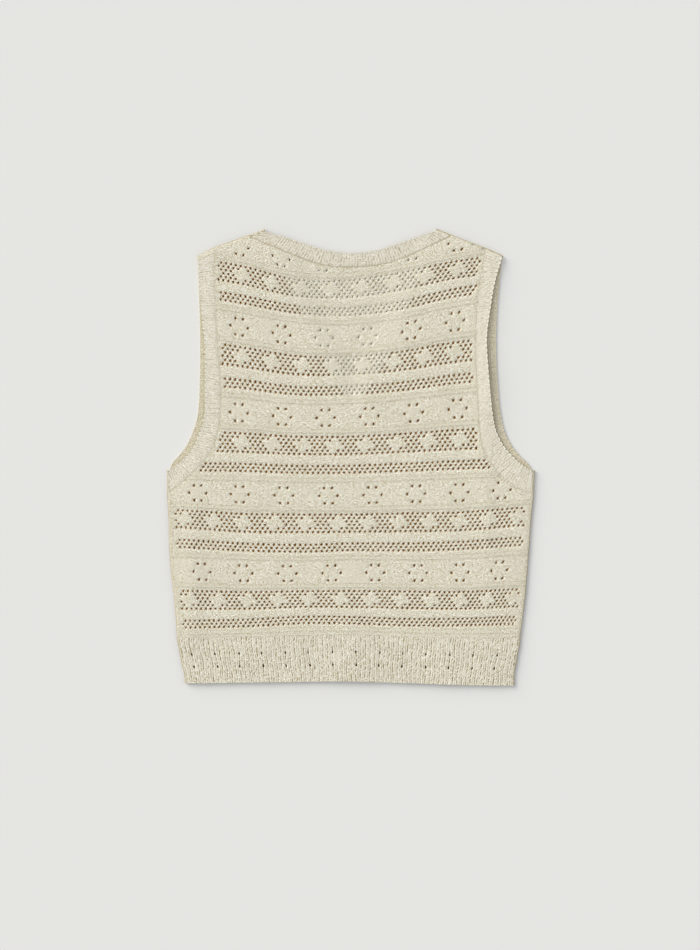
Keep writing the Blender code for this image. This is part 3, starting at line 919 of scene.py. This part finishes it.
# %% Panel making
PURL_SHADE = 0.36          # how much painted shade lies on the courses beside a purl ridge, from 0 to 1
SIDE_SHADE = 0.35          # and on the cloth beside a fold
SIDE_SHADE_REACH = 5.0     # over this width
V_PALER = 0.75            # how much less painted warm shade lies on the eyelets' rims inside the V
STITCH_PLAY = 0.2         # how far a stitch strays in plan
RIM_PLAY = 0.35           # share of that play which is left round an eyelet
STITCH_LIFT = 0.09        # how far a stitch strays in height


def make_panel(name, layer, line, left_armhole, right_armhole, neck):
    """A lace panel: cut, opened, laid down, marked with painted shade, folded over and finished."""
    sheet = cut_grid(line)
    edge_verts = [vertex for vertex in sheet.verts if vertex.is_boundary]
    eyelets = panel_eyelets(layer, line)
    opened = open_eyelets(sheet, eyelets, STITCH_WIDE, COURSE_HIGH)
    chart, rim = remember_chart(sheet)
    sheet.verts.index_update()
    edge_index = np.array([vertex.index for vertex in edge_verts])

    x, y = place_stitches(chart[:, 0], chart[:, 1])
    play = STITCH_PLAY * (1 - (1 - RIM_PLAY) * rim)
    x, y = x + stray(len(x), 1.0) * play, y + stray(len(y), 1.0) * play
    ways = draw_onto_line(x, y, edge_index, line)
    left_arm = seam_depth(x, y, left_armhole, ARM_SEAM_REACH)
    right_arm = seam_depth(x, y, right_armhole, ARM_SEAM_REACH)
    arms, throat = np.maximum(left_arm, right_arm), seam_depth(x, y, neck, NECK_SEAM_REACH)
    relief = panel_relief(chart, rim, eyelets) - SEAM_DIP * np.maximum(arms, throat)
    surface = cloth_height(layer, x, y) + uneven(x, y) + layer * relief
    z = lay_flat(layer, surface + stray(len(x), STITCH_LIFT))
    lay_out(sheet, x, y, z)

    # painted shade in the troughs beside the purl ridges, in the seams and beside the side folds
    troughs = np.isin(chart[:, 1], PURL_TROUGHS)
    beside_fold = np.exp(-(np.minimum(x - left_side(y), right_side(y) - x) / SIDE_SHADE_REACH) ** 2)
    shades = (PURL_SHADE * troughs, ARM_SEAM_SHADE * arms, NECK_SEAM_SHADE * throat, SIDE_SHADE * beside_fold)
    mark(sheet, "painted_shade", np.maximum.reduce(shades))
    # painted warm shade round the eyelets, for light that bounced inside the garment; less of it inside the
    # V
    mark(sheet, "painted_rim_shade", rim * (1.0 - V_PALER * v_share(x, y, V_BORDER)))
    crest = crest_height(x, y)
    verts = list(sheet.verts)
    base = {verts[i]: (x[i], y[i], z[i], crest[i]) for i in ways}
    fold_over(sheet, base, {verts[i]: way for i, way in ways.items()})
    piece = finish_piece(name, sheet, layer)
    print(name, "has", opened, "eyelets and", count_triangles(piece), "triangles")
    return piece


# %% Make the panels
back_panel = make_panel("back_panel", BACK, BACK_OUTLINE, LEFT_BACK, RIGHT_BACK, NECK_OF_BACK)
front_panel = make_panel("front_panel", FRONT, FRONT_OUTLINE, LEFT_FRONT, RIGHT_FRONT, NECK_OF_FRONT)

# %% [markdown]
# ## The hem ribs
# The hem is a 1x1 rib, knitted sideways-stretchy in ridges that run down the cloth, with a few eyelets in
# two rows. Its grid has four columns for each rib: the deep valley of a purl column, one side of the knit
# column, the fine groove down its middle, and its other side. The ribs draw the vest in, so they lean
# towards the middle at the sides, which here follows from laying each row between the two sides at its
# own height.

# %% Rib helpers
RIB_COLUMNS = 4
SHADE_SHARES = (0.1, 1.4)  # a stitch takes on between these shares of its column's painted shade
Sway = namedtuple("Sway", "reach down across start")    # a slow wave, and its lengths down and across
SWAYS = (Sway(0.4, 4.1, 9.0, 0.0), Sway(0.35, 7.3, -23.0, 1.0))


def along_rib(column, profile):
    """The value of a 1x1 rib's profile at columns of its grid."""
    return np.array(profile)[np.asarray(np.rint(column), int) % RIB_COLUMNS]


def rib_shade(column, shades):
    """How much painted shade a rib takes at columns of its grid, a little different at every stitch."""
    return along_rib(column, shades) * np.array([random_knit.uniform(*SHADE_SHARES) for _ in column])


def wander(x, y):
    """How far a rib strays sideways on its way down."""
    return sum(sway.reach * np.sin(y / sway.down + x / sway.across + sway.start) for sway in SWAYS)


print("ribs wander by up to", round(sum(sway.reach for sway in SWAYS), 2), "mm")

# %% Hem ribs
HEM_RIBS = 71
HEM_ROWS = 25
HEM_PROFILE = (-0.32, 0.17, -0.03, 0.17)    # how far the four columns of a rib stand out
HEM_SHADES = (0.85, 0.12, 0.6, 0.12)         # and how much painted shade they take, from 0 to 1
SEAM_RELIEF = 0.3         # share of a rib's relief that is left on its seam
HEM_EYELET_REPEAT = 5     # ribs from one eyelet to the next
HEM_EYELET_START = {BACK: 2, FRONT: 4}
HEM_EYELET_ROWS = {16: 0.8, 9: 1.0}         # rows with eyelets, and the size of those beside a full one
HEM_EYELET = 1.5          # half of a hem eyelet's width
HEM_EYELET_HIGH = 0.9     # its height as a share of its width
HEM_SIZE_SHARES = (0.85, 1.1)
HEM_LEANS = (-0.3, 0.8)   # in radians
HEM_PLAY = (0.12, 0.1)    # how far a stitch strays across and along the rib
HEM_LIFT = 0.07           # and in height
hem_seam = line_through(HEM, "across", "seam_y")
hem_edge = line_through(HEM, "across", "edge_y")


def hem_eyelets(layer):
    """The two rows of eyelets in a hem, which lie two ribs apart on back and front."""
    eyelets = []
    for row, row_size in HEM_EYELET_ROWS.items():
        for rib in range(HEM_EYELET_START[layer], HEM_RIBS, HEM_EYELET_REPEAT):
            size = HEM_EYELET * random_knit.uniform(*HEM_SIZE_SHARES) * row_size
            lean = random_knit.uniform(*HEM_LEANS)
            eyelets.append(Eyelet(rib * RIB_COLUMNS, row, lean, size, size * HEM_EYELET_HIGH))
    return eyelets


def make_hem(name, layer):
    """A hem rib, laid between the two sides, lapped onto its panel's edge and folded round at its ends."""
    columns = HEM_RIBS * RIB_COLUMNS
    sheet = chart_grid(columns + 2 * FOLD_STEPS, HEM_ROWS, left=-FOLD_STEPS)
    opened = open_eyelets(sheet, hem_eyelets(layer), STITCH_WIDE / 2, COURSE_HIGH)
    chart, rim = remember_chart(sheet)
    within = np.clip(chart[:, 0], 0, columns)
    angle = fold_angle(np.abs(chart[:, 0] - within))
    joined = chart[:, 1] == HEM_ROWS
    across, up = within / columns, chart[:, 1] / HEM_ROWS
    y = hem_edge(across) + (hem_seam(across) - hem_edge(across)) * up
    left, right = left_side(y) + FOLD_REACH, right_side(y) - FOLD_REACH
    x = left + (right - left) * across
    x, y = x + wander(x, y) + stray(len(x), HEM_PLAY[0]), y + stray(len(y), HEM_PLAY[1])
    z = cloth_height(layer, x, y) + uneven(x, y) + stray(len(x), HEM_LIFT)
    crest = crest_height(x, y)
    ribs = along_rib(chart[:, 0], HEM_PROFILE) * np.where(joined, SEAM_RELIEF, 1.0)
    z = lay_flat(layer, z + layer * (ribs - RIM_SINK * rim))
    # painted shade in the rib valleys and round the folds, and painted warm shade round the eyelets
    mark(sheet, "painted_shade", np.maximum(rib_shade(chart[:, 0], HEM_SHADES), FOLD_SHADE * np.sin(angle)))
    mark(sheet, "painted_rim_shade", rim)
    x = x + np.sign(chart[:, 0] - within) * FOLD_REACH * np.sin(angle)
    lay_out(sheet, x, y + np.where(joined, SEAM_LAP, 0.0), crest + (z - crest) * np.cos(angle))
    piece = finish_piece(name, sheet, layer, stitch_columns=RIB_COLUMNS / 2, first_column=1.0)
    print(name, "has", opened, "eyelets and", count_triangles(piece), "triangles")
    return piece


back_hem_rib = make_hem("back_hem_rib", BACK)
front_hem_rib = make_hem("front_hem_rib", FRONT)

# %% [markdown]
# ## The rib bands
# Each band is a strip of 1x1 rib sewn round an opening in a ring. It runs along the back, folds over the
# shoulder to the front, and comes back: over the underarm on an armhole, or round the point of the V at
# the neck. One list of stations describes it, each with its edge point, its seam point, the way out of a
# fold and how far it has turned from the back to the front. The stations are spread evenly by length,
# four to a rib, so that all ribs are equally wide, and the grid's two ends are then merged into the ring.
# Its free edge has a scallop on every rib.

# %% Band stations
EDGE, SEAM, OUT, TURN = slice(0, 2), slice(2, 4), slice(4, 6), 6    # the columns of a station
FOLD_STATIONS = 8
MIDDLE_SHARE = 0.5        # the middle of a band, where its length is measured


def layer_stations(sections, turn):
    """Stations on one layer, where nothing turns outward."""
    count = len(sections)
    return np.column_stack([sections, np.tile(NO_FOLD, (count, 1)), np.full(count, turn)])


def fold_stations(section, inward, turn_from):
    """Stations round a fold, with a turn that goes from one layer to the other."""
    turns = np.linspace(turn_from, 1.0 - turn_from, FOLD_STATIONS + 1)[1:-1]
    return np.array([[*section, *-inward, turn] for turn in turns])


def place_band(stations, share):
    """Points at a share of a band's width from its seam, 0, to its edge, 1."""
    share = np.broadcast_to(share, len(stations))[:, None]
    edge, seam, turned = stations[:, EDGE], stations[:, SEAM], math.pi * stations[:, TURN]
    plan = seam + (edge - seam) * share
    upper = cloth_height(BACK, *plan.T) + uneven(*plan.T)
    lower = cloth_height(FRONT, *plan.T)
    z = (upper + lower) / 2 + (upper - lower) / 2 * np.cos(turned)
    plan = plan + stations[:, OUT] * FOLD_REACH * np.sin(turned)[:, None]
    return np.column_stack([plan, z])


def spread_evenly(stations, rib_width):
    """The ring's stations again, evenly spaced, with a whole number of ribs."""
    ring = np.concatenate([stations, stations[:1]])
    line = place_band(ring, MIDDLE_SHARE)
    along = np.concatenate([[0.0], np.cumsum(np.linalg.norm(np.diff(line, axis=0), axis=1))])
    ribs = int(round(along[-1] / rib_width))
    places = np.linspace(0.0, along[-1], ribs * RIB_COLUMNS + 1)
    return np.column_stack([np.interp(places, along, column) for column in ring.T]), along[-1]


def arm_ring(back, front, shoulder_in, side_in):
    """An armhole's stations: up the back, over the shoulder, down the front and round the underarm."""
    return np.concatenate([
        layer_stations(back[::-1], 0.0),
        fold_stations(back[0], shoulder_in, 0.0),
        layer_stations(front, 1.0),
        fold_stations(front[-1], side_in, 1.0),
    ])


neck_ring = np.concatenate([
    layer_stations(NECK_OF_BACK, 0.0),
    fold_stations(NECK_OF_BACK[-1], RIGHT_SHOULDER_IN, 0.0),
    layer_stations(NECK_OF_FRONT[::-1], 1.0),
    fold_stations(NECK_OF_BACK[0], LEFT_SHOULDER_IN, 1.0),
])
left_ring = arm_ring(LEFT_BACK, LEFT_FRONT, LEFT_SHOULDER_IN, LEFT_IN)
right_ring = arm_ring(RIGHT_BACK, RIGHT_FRONT, RIGHT_SHOULDER_IN, RIGHT_IN)
print("stations before they are spread:", len(neck_ring), len(left_ring), len(right_ring))

# %% Band making
BAND_ROWS = 8
BAND_PROFILE = (-0.2, 0.17, -0.15, 0.17)   # on a stretched rib the purl columns show too
EDGE_BEAD = (-0.1, 0.25, 0.4, 0.25)        # how far the bound-off edge stands up along a rib
EDGE_SCALLOP = (-0.75, 0.2, 0.45, 0.2)     # and how far it reaches out
EDGE_SHADE = 0.6           # how much painted shade lies between two scallops
MERGE_REACH = 0.01        # the grid's two ends are merged where they are this near


def make_band(name, stations, rib_width, shades, seam_reach, seam_shade):
    """A ring of rib, lapped over its panel's edge, with a scallop on each rib of its free edge."""
    ring, length = spread_evenly(stations, rib_width)
    columns = len(ring) - 1
    sheet = chart_grid(columns, BAND_ROWS)
    chart, _ = remember_chart(sheet)
    column, row = np.asarray(np.rint(chart), int).T
    here = ring[column]
    turned = math.pi * here[:, TURN]
    width = np.linalg.norm(here[:, EDGE] - here[:, SEAM], axis=1)
    on_seam, on_edge = row == 0, row == BAND_ROWS
    scallop = along_rib(column, EDGE_SCALLOP)
    share = np.where(on_seam, -SEAM_LAP / width, row / BAND_ROWS)
    share = np.where(on_edge, 1 + scallop / width, share)
    beside_seam = np.exp(-(np.maximum(share, 0.0) * width / seam_reach) ** 2)
    ribs = along_rib(column, BAND_PROFILE) * np.where(on_seam, SEAM_RELIEF, 1.0)
    relief = np.where(on_edge, along_rib(column, EDGE_BEAD), ribs) - SEAM_DIP * beside_seam
    # painted shade beside the seam, in the rib grooves, between the scallops and round the folds
    grooves = np.where(on_edge, EDGE_SHADE * (scallop < 0), rib_shade(column, shades))
    mark(sheet, "painted_shade", np.maximum.reduce((seam_shade * beside_seam, grooves, FOLD_SHADE * np.sin(turned))))
    points = place_band(here, share)
    points[:, 2] = np.maximum(points[:, 2] + relief * np.cos(turned), LOWEST_MIDDLE)
    points[:, :2] += here[:, OUT] * (relief * np.sin(turned))[:, None]
    lay_out(sheet, *points.T)
    bmesh.ops.remove_doubles(sheet, verts=sheet.verts, dist=MERGE_REACH)
    piece = finish_piece(name, sheet, BACK, stitch_columns=RIB_COLUMNS / 2, first_column=1.0)
    print(name, "is", round(length), "mm round, with", columns // RIB_COLUMNS, "ribs and",
          count_triangles(piece), "triangles")
    return piece


# %% Make the bands
ARM_RIB = 5.5             # width of a rib on an armband
NECK_RIB = 6.1            # and on the neckband
ARM_SHADES = (0.5, 0.08, 0.42, 0.08)        # how much painted shade a rib's columns take, from 0 to 1
NECK_SHADES = (0.6, 0.15, 0.52, 0.15)       # the neckband is drawn in more, so its grooves are deeper and take more painted shade
neckband = make_band("neckband", neck_ring, NECK_RIB, NECK_SHADES, NECK_SEAM_REACH, NECK_SEAM_SHADE)
left_armband = make_band("left_armband", left_ring, ARM_RIB, ARM_SHADES, ARM_SEAM_REACH, ARM_SEAM_SHADE)
right_armband = make_band("right_armband", right_ring, ARM_RIB, ARM_SHADES, ARM_SEAM_REACH, ARM_SEAM_SHADE)

# %% [markdown]
# ## The yarn
# The vest is knitted from undyed, matt cotton: many short fibres spun into a thick, soft yarn. Light
# sinks in between the stitches and comes back warmer, so the grooves look yellower and darker than the
# tops, and this is painted into the yarn's colour as painted shade. A photograph of the cloth could carry
# all this, but a procedural material stays sharp at any distance. It reads the stitch map: one unit
# across is one stitch, and one unit up is one course. Each stitch is a V of two slanting legs.

# %% Material helpers
def linear(hex_colour):
    """An sRGB hex colour as the linear colour that Blender's sockets take."""
    channels = [int(hex_colour[i:i + 2], 16) / 255 for i in (1, 3, 5)]
    return tuple(c / 12.92 if c <= 0.04045 else ((c + 0.055) / 1.055) ** 2.4 for c in channels) + (1.0,)


def add_node(material, kind, inputs=None, **settings):
    """Adds a node with its settings, and sets or links its inputs. A node there gives its first output."""
    node = material.node_tree.nodes.new(kind)
    for name, value in settings.items():
        setattr(node, name, value)
    for name, value in (inputs or {}).items():
        source = value.outputs[0] if isinstance(value, bpy.types.Node) else value
        if isinstance(source, bpy.types.NodeSocket):
            material.node_tree.links.new(source, node.inputs[name])
        else:
            node.inputs[name].default_value = source
    return node


def new_material(name):
    """An empty material that is made of nodes."""
    material = bpy.data.materials.new(name)
    material.use_nodes = True
    material.node_tree.nodes.clear()
    return material


print("middle grey is", round(linear("#808080")[0], 3), "in linear light")

# %% [markdown]
# ## The stitch pattern
# The legs of the Vs are rounded ridges: a parabola across each leg, and a sine along it where one stitch
# slips into the next. At the photograph's distance a leg is hardly more than one pixel wide, so the
# pattern only reads as a lively grain there, and its true size of about 2.9 by 2.15 mm is kept. No two
# stitches of a real knit are alike, so a noise bends their columns, and a finer one makes some places
# plumper and paler than others. That one stands for loose fibres, and is drawn coarser than they are so
# that it shows. Over it lie a fibre noise of about half a millimetre, and a slow drift of tone over some
# centimetres. The sums are kept as a recipe, one row for each step, and a loop turns every row into a
# Math node.

# %% Stitch recipe
Noise = namedtuple("Noise", "name per_metre detail")
NOISES = (
    Noise("bends", 330.0, 1.0),         # 3 mm
    Noise("loose", 1220.0, 0.5),        # 0.8 mm
    Noise("fibres", 1900.0, 2.0),       # 0.5 mm
    Noise("drift", 26.0, 3.0),          # 38 mm
)
NOISE_LOW, NOISE_HIGH = 0.3, 0.7        # between these lie most values of a noise
NOISE_TONES = {"loose": (-0.26, 0.6), "drift": (0.98, 1.02)}
BENDS = (0.55, 0.55, 0.0)               # stitches and courses by which the bends carry the pattern
LEG_PLACE = 0.25                        # from the middle of a stitch to the middle of a leg
LEG_ROUND = 0.55                        # how far a leg falls off to its sides
LEG_SLANT = 1.6                         # courses that a leg climbs in one stitch's width
SWELL_SHARE = 0.7                       # share of a leg's height that comes and goes along it
FIBRE_RELIEF = 0.4
LOOSE_RELIEF = 0.8
STITCH_SHADE = 0.6                       # painted shade: how much paler the top of a stitch is painted than the groove between its legs
# how sharply the painted shade of grooves, seams and folds and the painted warm shade round eyelets fall off
PAINTED_SHADE_CURVE = 1.4
PAINTED_RIM_SHADE_CURVE = 3.0
RECIPE = (
    ("column", "FRACT", "across"),
    ("from_middle", "SUBTRACT", "column", 0.5),
    ("aside", "ABSOLUTE", "from_middle"),
    ("from_leg", "SUBTRACT", "aside", LEG_PLACE),
    ("leg", "MULTIPLY", "from_leg", 1 / LEG_PLACE),
    ("leg_squared", "MULTIPLY", "leg", "leg"),
    ("round_leg", "MULTIPLY_ADD", "leg_squared", -LEG_ROUND, 1.0),
    ("slant", "MULTIPLY_ADD", "aside", -LEG_SLANT, "up"),
    ("course", "FRACT", "slant"),
    ("half_turn", "MULTIPLY", "course", math.pi),
    ("swell", "SINE", "half_turn"),
    ("plumpness", "MULTIPLY_ADD", "swell", SWELL_SHARE, 1.0 - SWELL_SHARE),
    ("stitch", "MULTIPLY", "round_leg", "plumpness"),
    ("furry", "MULTIPLY_ADD", "fibres", FIBRE_RELIEF, "stitch"),
    ("lumps", "MULTIPLY", "loose", LOOSE_RELIEF),
    ("height", "ADD", "furry", "lumps"),
    # painted shade between the legs of a stitch, with the random tone of the loose fibres
    ("painted_shade_and_loose_tone", "MULTIPLY_ADD", "stitch", STITCH_SHADE, "loose_tone"),
    ("painted_shade_share", "POWER", "painted_shade", PAINTED_SHADE_CURVE),
    ("painted_rim_shade_share", "POWER", "painted_rim_shade", PAINTED_RIM_SHADE_CURVE),
)
print("a stitch is drawn in", len(RECIPE), "steps")

# %% Knit material
STITCH_DEPTH = 0.26       # millimetres of relief for a height of one
PAINTED_SHADE_COLOUR = "#A69672"     # painted shade: the colour that cotton is darkened to in a valley, a seam or a fold


def knit_values(knit):
    """The recipe's results, by name, as nodes of a material."""
    chart = add_node(knit, "ShaderNodeUVMap", uv_map="stitches")
    place = add_node(knit, "ShaderNodeTexCoord").outputs["Object"]
    made = {}
    for noise in NOISES:
        inputs = {"Vector": place, "Scale": noise.per_metre, "Detail": noise.detail}
        made[noise.name] = add_node(knit, "ShaderNodeTexNoise", inputs)
    for name, (low, high) in NOISE_TONES.items():
        inputs = {"Value": made[name], "From Min": NOISE_LOW, "From Max": NOISE_HIGH}
        inputs |= {"To Min": low, "To Max": high}
        made[name + "_tone"] = add_node(knit, "ShaderNodeMapRange", inputs)
    inputs = {0: made["bends"].outputs["Color"], 1: BENDS, 2: chart}
    bent = add_node(knit, "ShaderNodeVectorMath", inputs, operation="MULTIPLY_ADD")
    parts = add_node(knit, "ShaderNodeSeparateXYZ", {"Vector": bent}).outputs
    made["across"], made["up"] = parts["X"], parts["Y"]
    # the vertices' two layers of painted shade
    for name in ("painted_shade", "painted_rim_shade"):
        made[name] = add_node(knit, "ShaderNodeAttribute", attribute_name=name).outputs["Fac"]
    for name, operation, *terms in RECIPE:
        inputs = {number: made.get(term, term) for number, term in enumerate(terms)}
        made[name] = add_node(knit, "ShaderNodeMath", inputs, operation=operation)
    return made


def make_knit(name, top, groove_shade_and_tone, rim_shade_colour):
    """Matte cotton yarn in stocking stitch. A Mix node's colour sockets are its inputs 6, 7 and output 2."""
    knit = new_material(name)
    made = knit_values(knit)
    # the groove colour is painted shade between the stitches, under the paler top
    inputs = {"Factor": made["painted_shade_and_loose_tone"], 6: linear(groove_shade_and_tone), 7: linear(top)}
    yarn = add_node(knit, "ShaderNodeMix", inputs, data_type="RGBA").outputs[2]
    inputs = {0: yarn, "Scale": made["drift_tone"]}
    colour = add_node(knit, "ShaderNodeVectorMath", inputs, operation="SCALE").outputs[0]
    # first the painted shade of grooves, seams and folds, then the painted warm shade round the eyelets
    for share, tint in (("painted_shade_share", PAINTED_SHADE_COLOUR), ("painted_rim_shade_share", rim_shade_colour)):
        inputs = {"Factor": made[share], 6: colour, 7: linear(tint)}
        colour = add_node(knit, "ShaderNodeMix", inputs, data_type="RGBA").outputs[2]
    bump = add_node(knit, "ShaderNodeBump", {
        "Height": made["height"], "Distance": STITCH_DEPTH * MM, "Strength": 1.0})
    cotton = add_node(knit, "ShaderNodeBsdfPrincipled", {
        "Base Color": colour, "Normal": bump, "Roughness": 0.92, "Specular IOR Level": 0.25,
        "Sheen Weight": 0.12, "Sheen Roughness": 0.6})
    add_node(knit, "ShaderNodeOutputMaterial", {"Surface": cotton})
    return knit


# %% [markdown]
# ## Outside and inside
# Inside the garment light bounces from yarn to yarn before it comes out through an eyelet, and each
# bounce takes out some blue. An opaque shader doesn't do that, so that light and the shade inside are
# painted: the Solidify modifier puts a second material of painted shade on the inner side of each wall,
# a deep tan inside the front, which shows through the back's eyelets, a yellower cream inside the back,
# and a darker cream inside the back's hem and the bands. The yarn round an eyelet is painted brown for
# the same reason, as painted warm shade. The ribs are knitted tighter than the lace, so their tops are
# brighter. The bands are stretched, so their grooves are paler than the hem's.

# %% Yarn colours and painted shade
LACE_RIM_SHADE = "#9C6824"      # painted warm shade on the rim of a lace eyelet, for light that bounced inside the garment
RIB_RIM_SHADE = "#7E4C0A"       # and on the rim of a hem eyelet
# the second colour of each material is its painted shade in the grooves between the stitches
lace_outside = make_knit("cotton_lace_outside", "#FCFAEE", "#B8AC82", LACE_RIM_SHADE)
# painted shade on the inner side of the back's and the front's walls, which shows through the eyelets
painted_shade_back_inside = make_knit("cotton_painted_shade_back_inside", "#F3E8C8", "#D4C294", LACE_RIM_SHADE)
painted_shade_front_inside = make_knit("cotton_painted_shade_front_inside", "#DEB766", "#B8924C", LACE_RIM_SHADE)
rib_outside = make_knit("cotton_rib_outside", "#FFFDF4", "#C6BC96", RIB_RIM_SHADE)
band_outside = make_knit("cotton_band_outside", "#FDFBF2", "#CEC4A2", RIB_RIM_SHADE)
# painted shade on the inner side of the back's hem and the bands
painted_shade_rib_inside = make_knit("cotton_painted_shade_rib_inside", "#F0EBDA", "#B8AC82", RIB_RIM_SHADE)
# each piece's outside material and its inside material of painted shade
PIECE_MATERIALS = (
    (back_panel, lace_outside, painted_shade_back_inside),
    (front_panel, lace_outside, painted_shade_front_inside),
    (back_hem_rib, rib_outside, painted_shade_rib_inside),
    (front_hem_rib, rib_outside, painted_shade_front_inside),
    (neckband, band_outside, painted_shade_rib_inside),
    (left_armband, band_outside, painted_shade_rib_inside),
    (right_armband, band_outside, painted_shade_rib_inside),
)
for piece, outside, inside in PIECE_MATERIALS:
    piece.data.materials.append(outside)
    piece.data.materials.append(inside)
print("materials:", ", ".join(material.name for material in back_panel.data.materials))

# %% [markdown]
# ## The floor
# The vest lies on a large sheet of pale, slightly grey paper. It only has to take a soft shadow, so one
# matte shader with a faint, wide unevenness is enough.

# %% Floor
FLOOR_HALF = 3.0          # metres
FLOOR_BELOW = 0.0002
PAPER_DRIFT = 3.0         # changes of tone per metre


def make_paper():
    """Uncoated backdrop paper."""
    paper = new_material("matte_backdrop_paper")
    place = add_node(paper, "ShaderNodeTexCoord").outputs["Object"]
    drift = add_node(paper, "ShaderNodeTexNoise", {"Vector": place, "Scale": PAPER_DRIFT, "Detail": 1.0})
    inputs = {"Factor": drift, 6: linear("#E6E6E3"), 7: linear("#E8E8E5")}
    colour = add_node(paper, "ShaderNodeMix", inputs, data_type="RGBA").outputs[2]
    shader = add_node(paper, "ShaderNodeBsdfPrincipled", {
        "Base Color": colour, "Roughness": 0.95, "Specular IOR Level": 0.2})
    add_node(paper, "ShaderNodeOutputMaterial", {"Surface": shader})
    return paper


paper_sheet = bmesh.new()
bmesh.ops.create_grid(paper_sheet, x_segments=1, y_segments=1, size=FLOOR_HALF)
bmesh.ops.translate(paper_sheet, vec=(0.0, 0.0, cad_low.z - FLOOR_BELOW), verts=paper_sheet.verts)
floor = new_object("floor", paper_sheet)
floor.data.materials.append(make_paper())
print("floor at", round((cad_low.z - FLOOR_BELOW) / MM, 2), "mm")

# %% [markdown]
# ## Light and camera
# The light comes from a wide window or softbox at the upper left, with a pale room all round: the shadows
# at the right side and under the hem are short and soft. A sun lamp with a wide angle gives such a shadow
# evenly over the whole floor. The camera looks straight down through a long lens, so that the vest isn't
# drawn out at its edges.

# %% Light
SUN_HEIGHT = math.radians(26)
SUN_FROM = math.radians(141)
SUN_SPREAD = math.radians(42)
SUN_POWER = 2.28
ROOM_POWER = 0.685
lamp = bpy.data.lights.new("softbox", "SUN")
lamp.energy = SUN_POWER
lamp.angle = SUN_SPREAD
lamp.color = linear("#FFFCF6")[:3]
softbox = bpy.data.objects.new("softbox", lamp)
# A sun lamp that isn't turned shines straight down.
softbox.rotation_euler = (math.pi / 2 - SUN_HEIGHT, 0.0, SUN_FROM - 3 * math.pi / 2)
bpy.context.scene.collection.objects.link(softbox)

world = bpy.data.worlds.new("pale_room")
world.use_nodes = True
background = world.node_tree.nodes["Background"]
background.inputs["Color"].default_value = linear("#FBFCFF")
background.inputs["Strength"].default_value = ROOM_POWER
bpy.context.scene.world = world
bpy.context.scene.view_settings.view_transform = "Standard"
print("light from", round(math.degrees(SUN_HEIGHT)), "degrees above the floor")

# %% Camera
CAMERA_HEIGHT = 2.516     # metres
CAMERA_X, CAMERA_Y = -0.0011, -0.0196
camera_data = bpy.data.cameras.new("camera")
camera_data.lens = 85.0
camera_data.sensor_width = 36.0
camera = bpy.data.objects.new("camera", camera_data)
camera.location = (CAMERA_X, CAMERA_Y, CAMERA_HEIGHT)
bpy.context.scene.collection.objects.link(camera)
bpy.context.scene.camera = camera
print("camera", CAMERA_HEIGHT, "m above the floor")

# %% [markdown]
# The photograph was sharpened, which draws a fine light line round every eyelet. A sharpening filter does
# the same here. It works on display values, because on linear light it would turn every small dark spot
# black.

# %% Sharpening
SHARPENING = 0.15
DISPLAY_GAMMA = 2.2
bpy.context.scene.use_nodes = True
treatment = bpy.context.scene.node_tree
treatment.nodes.clear()
rendered = treatment.nodes.new("CompositorNodeRLayers")
to_display = treatment.nodes.new("CompositorNodeGamma")
to_display.inputs["Gamma"].default_value = 1 / DISPLAY_GAMMA
sharpener = treatment.nodes.new("CompositorNodeFilter")
sharpener.filter_type = "SHARPEN_DIAMOND"
sharpener.inputs["Fac"].default_value = SHARPENING
to_light = treatment.nodes.new("CompositorNodeGamma")
to_light.inputs["Gamma"].default_value = DISPLAY_GAMMA
finished = treatment.nodes.new("CompositorNodeComposite")
chain = (rendered, to_display, sharpener, to_light, finished)
for first, second in zip(chain, chain[1:]):
    treatment.links.new(first.outputs["Image"], second.inputs["Image"])
print("sharpened by", SHARPENING)

# %% [markdown]
# ## Handing over
# Every piece rides on the vest's one body and stands for its CAD node, which is hidden. A table lists for
# each piece the width and length of its cut as it came off the needles. A panel isn't a rectangle, so its
# area is given too. A band is cut straight, so its flat size is its length round the opening and its
# width.

# %% Sheets
PANEL_FLAT = (0.411, 0.455)
HEM_FLAT = (0.382, 0.052)
BAND_WIDTH = 0.0185
FOLD_AREA = 0.0011        # square metres of cloth in a panel's rounded folds
BACK_AREA = flat_area(BACK_OUTLINE) + FOLD_AREA
FRONT_AREA = flat_area(FRONT_OUTLINE) + FOLD_AREA
Cut = namedtuple("Cut", "piece node slot flat area rests_on")
CUTS = (
    Cut(back_panel, "back_panel", "lace_knit", PANEL_FLAT, BACK_AREA, ["front_panel"]),
    Cut(front_panel, "front_panel", "lace_knit", PANEL_FLAT, FRONT_AREA, ["floor"]),
    Cut(back_hem_rib, "back_hem_rib", "rib_knit", HEM_FLAT, None, ["front_hem_rib"]),
    Cut(front_hem_rib, "front_hem_rib", "rib_knit", HEM_FLAT, None, ["floor"]),
    Cut(neckband, "neckband", "rib_knit", (0.705, BAND_WIDTH), None, ["floor"]),
    Cut(left_armband, "left_armband", "rib_knit", (0.549, BAND_WIDTH), None, ["floor"]),
    Cut(right_armband, "right_armband", "rib_knit", (0.559, BAND_WIDTH), None, ["floor"]),
)
for cut in CUTS:
    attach(cut.piece, "root")
    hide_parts(cut.node)
    print(cut.node, "cut", cut.flat[0], "by", cut.flat[1], "m")
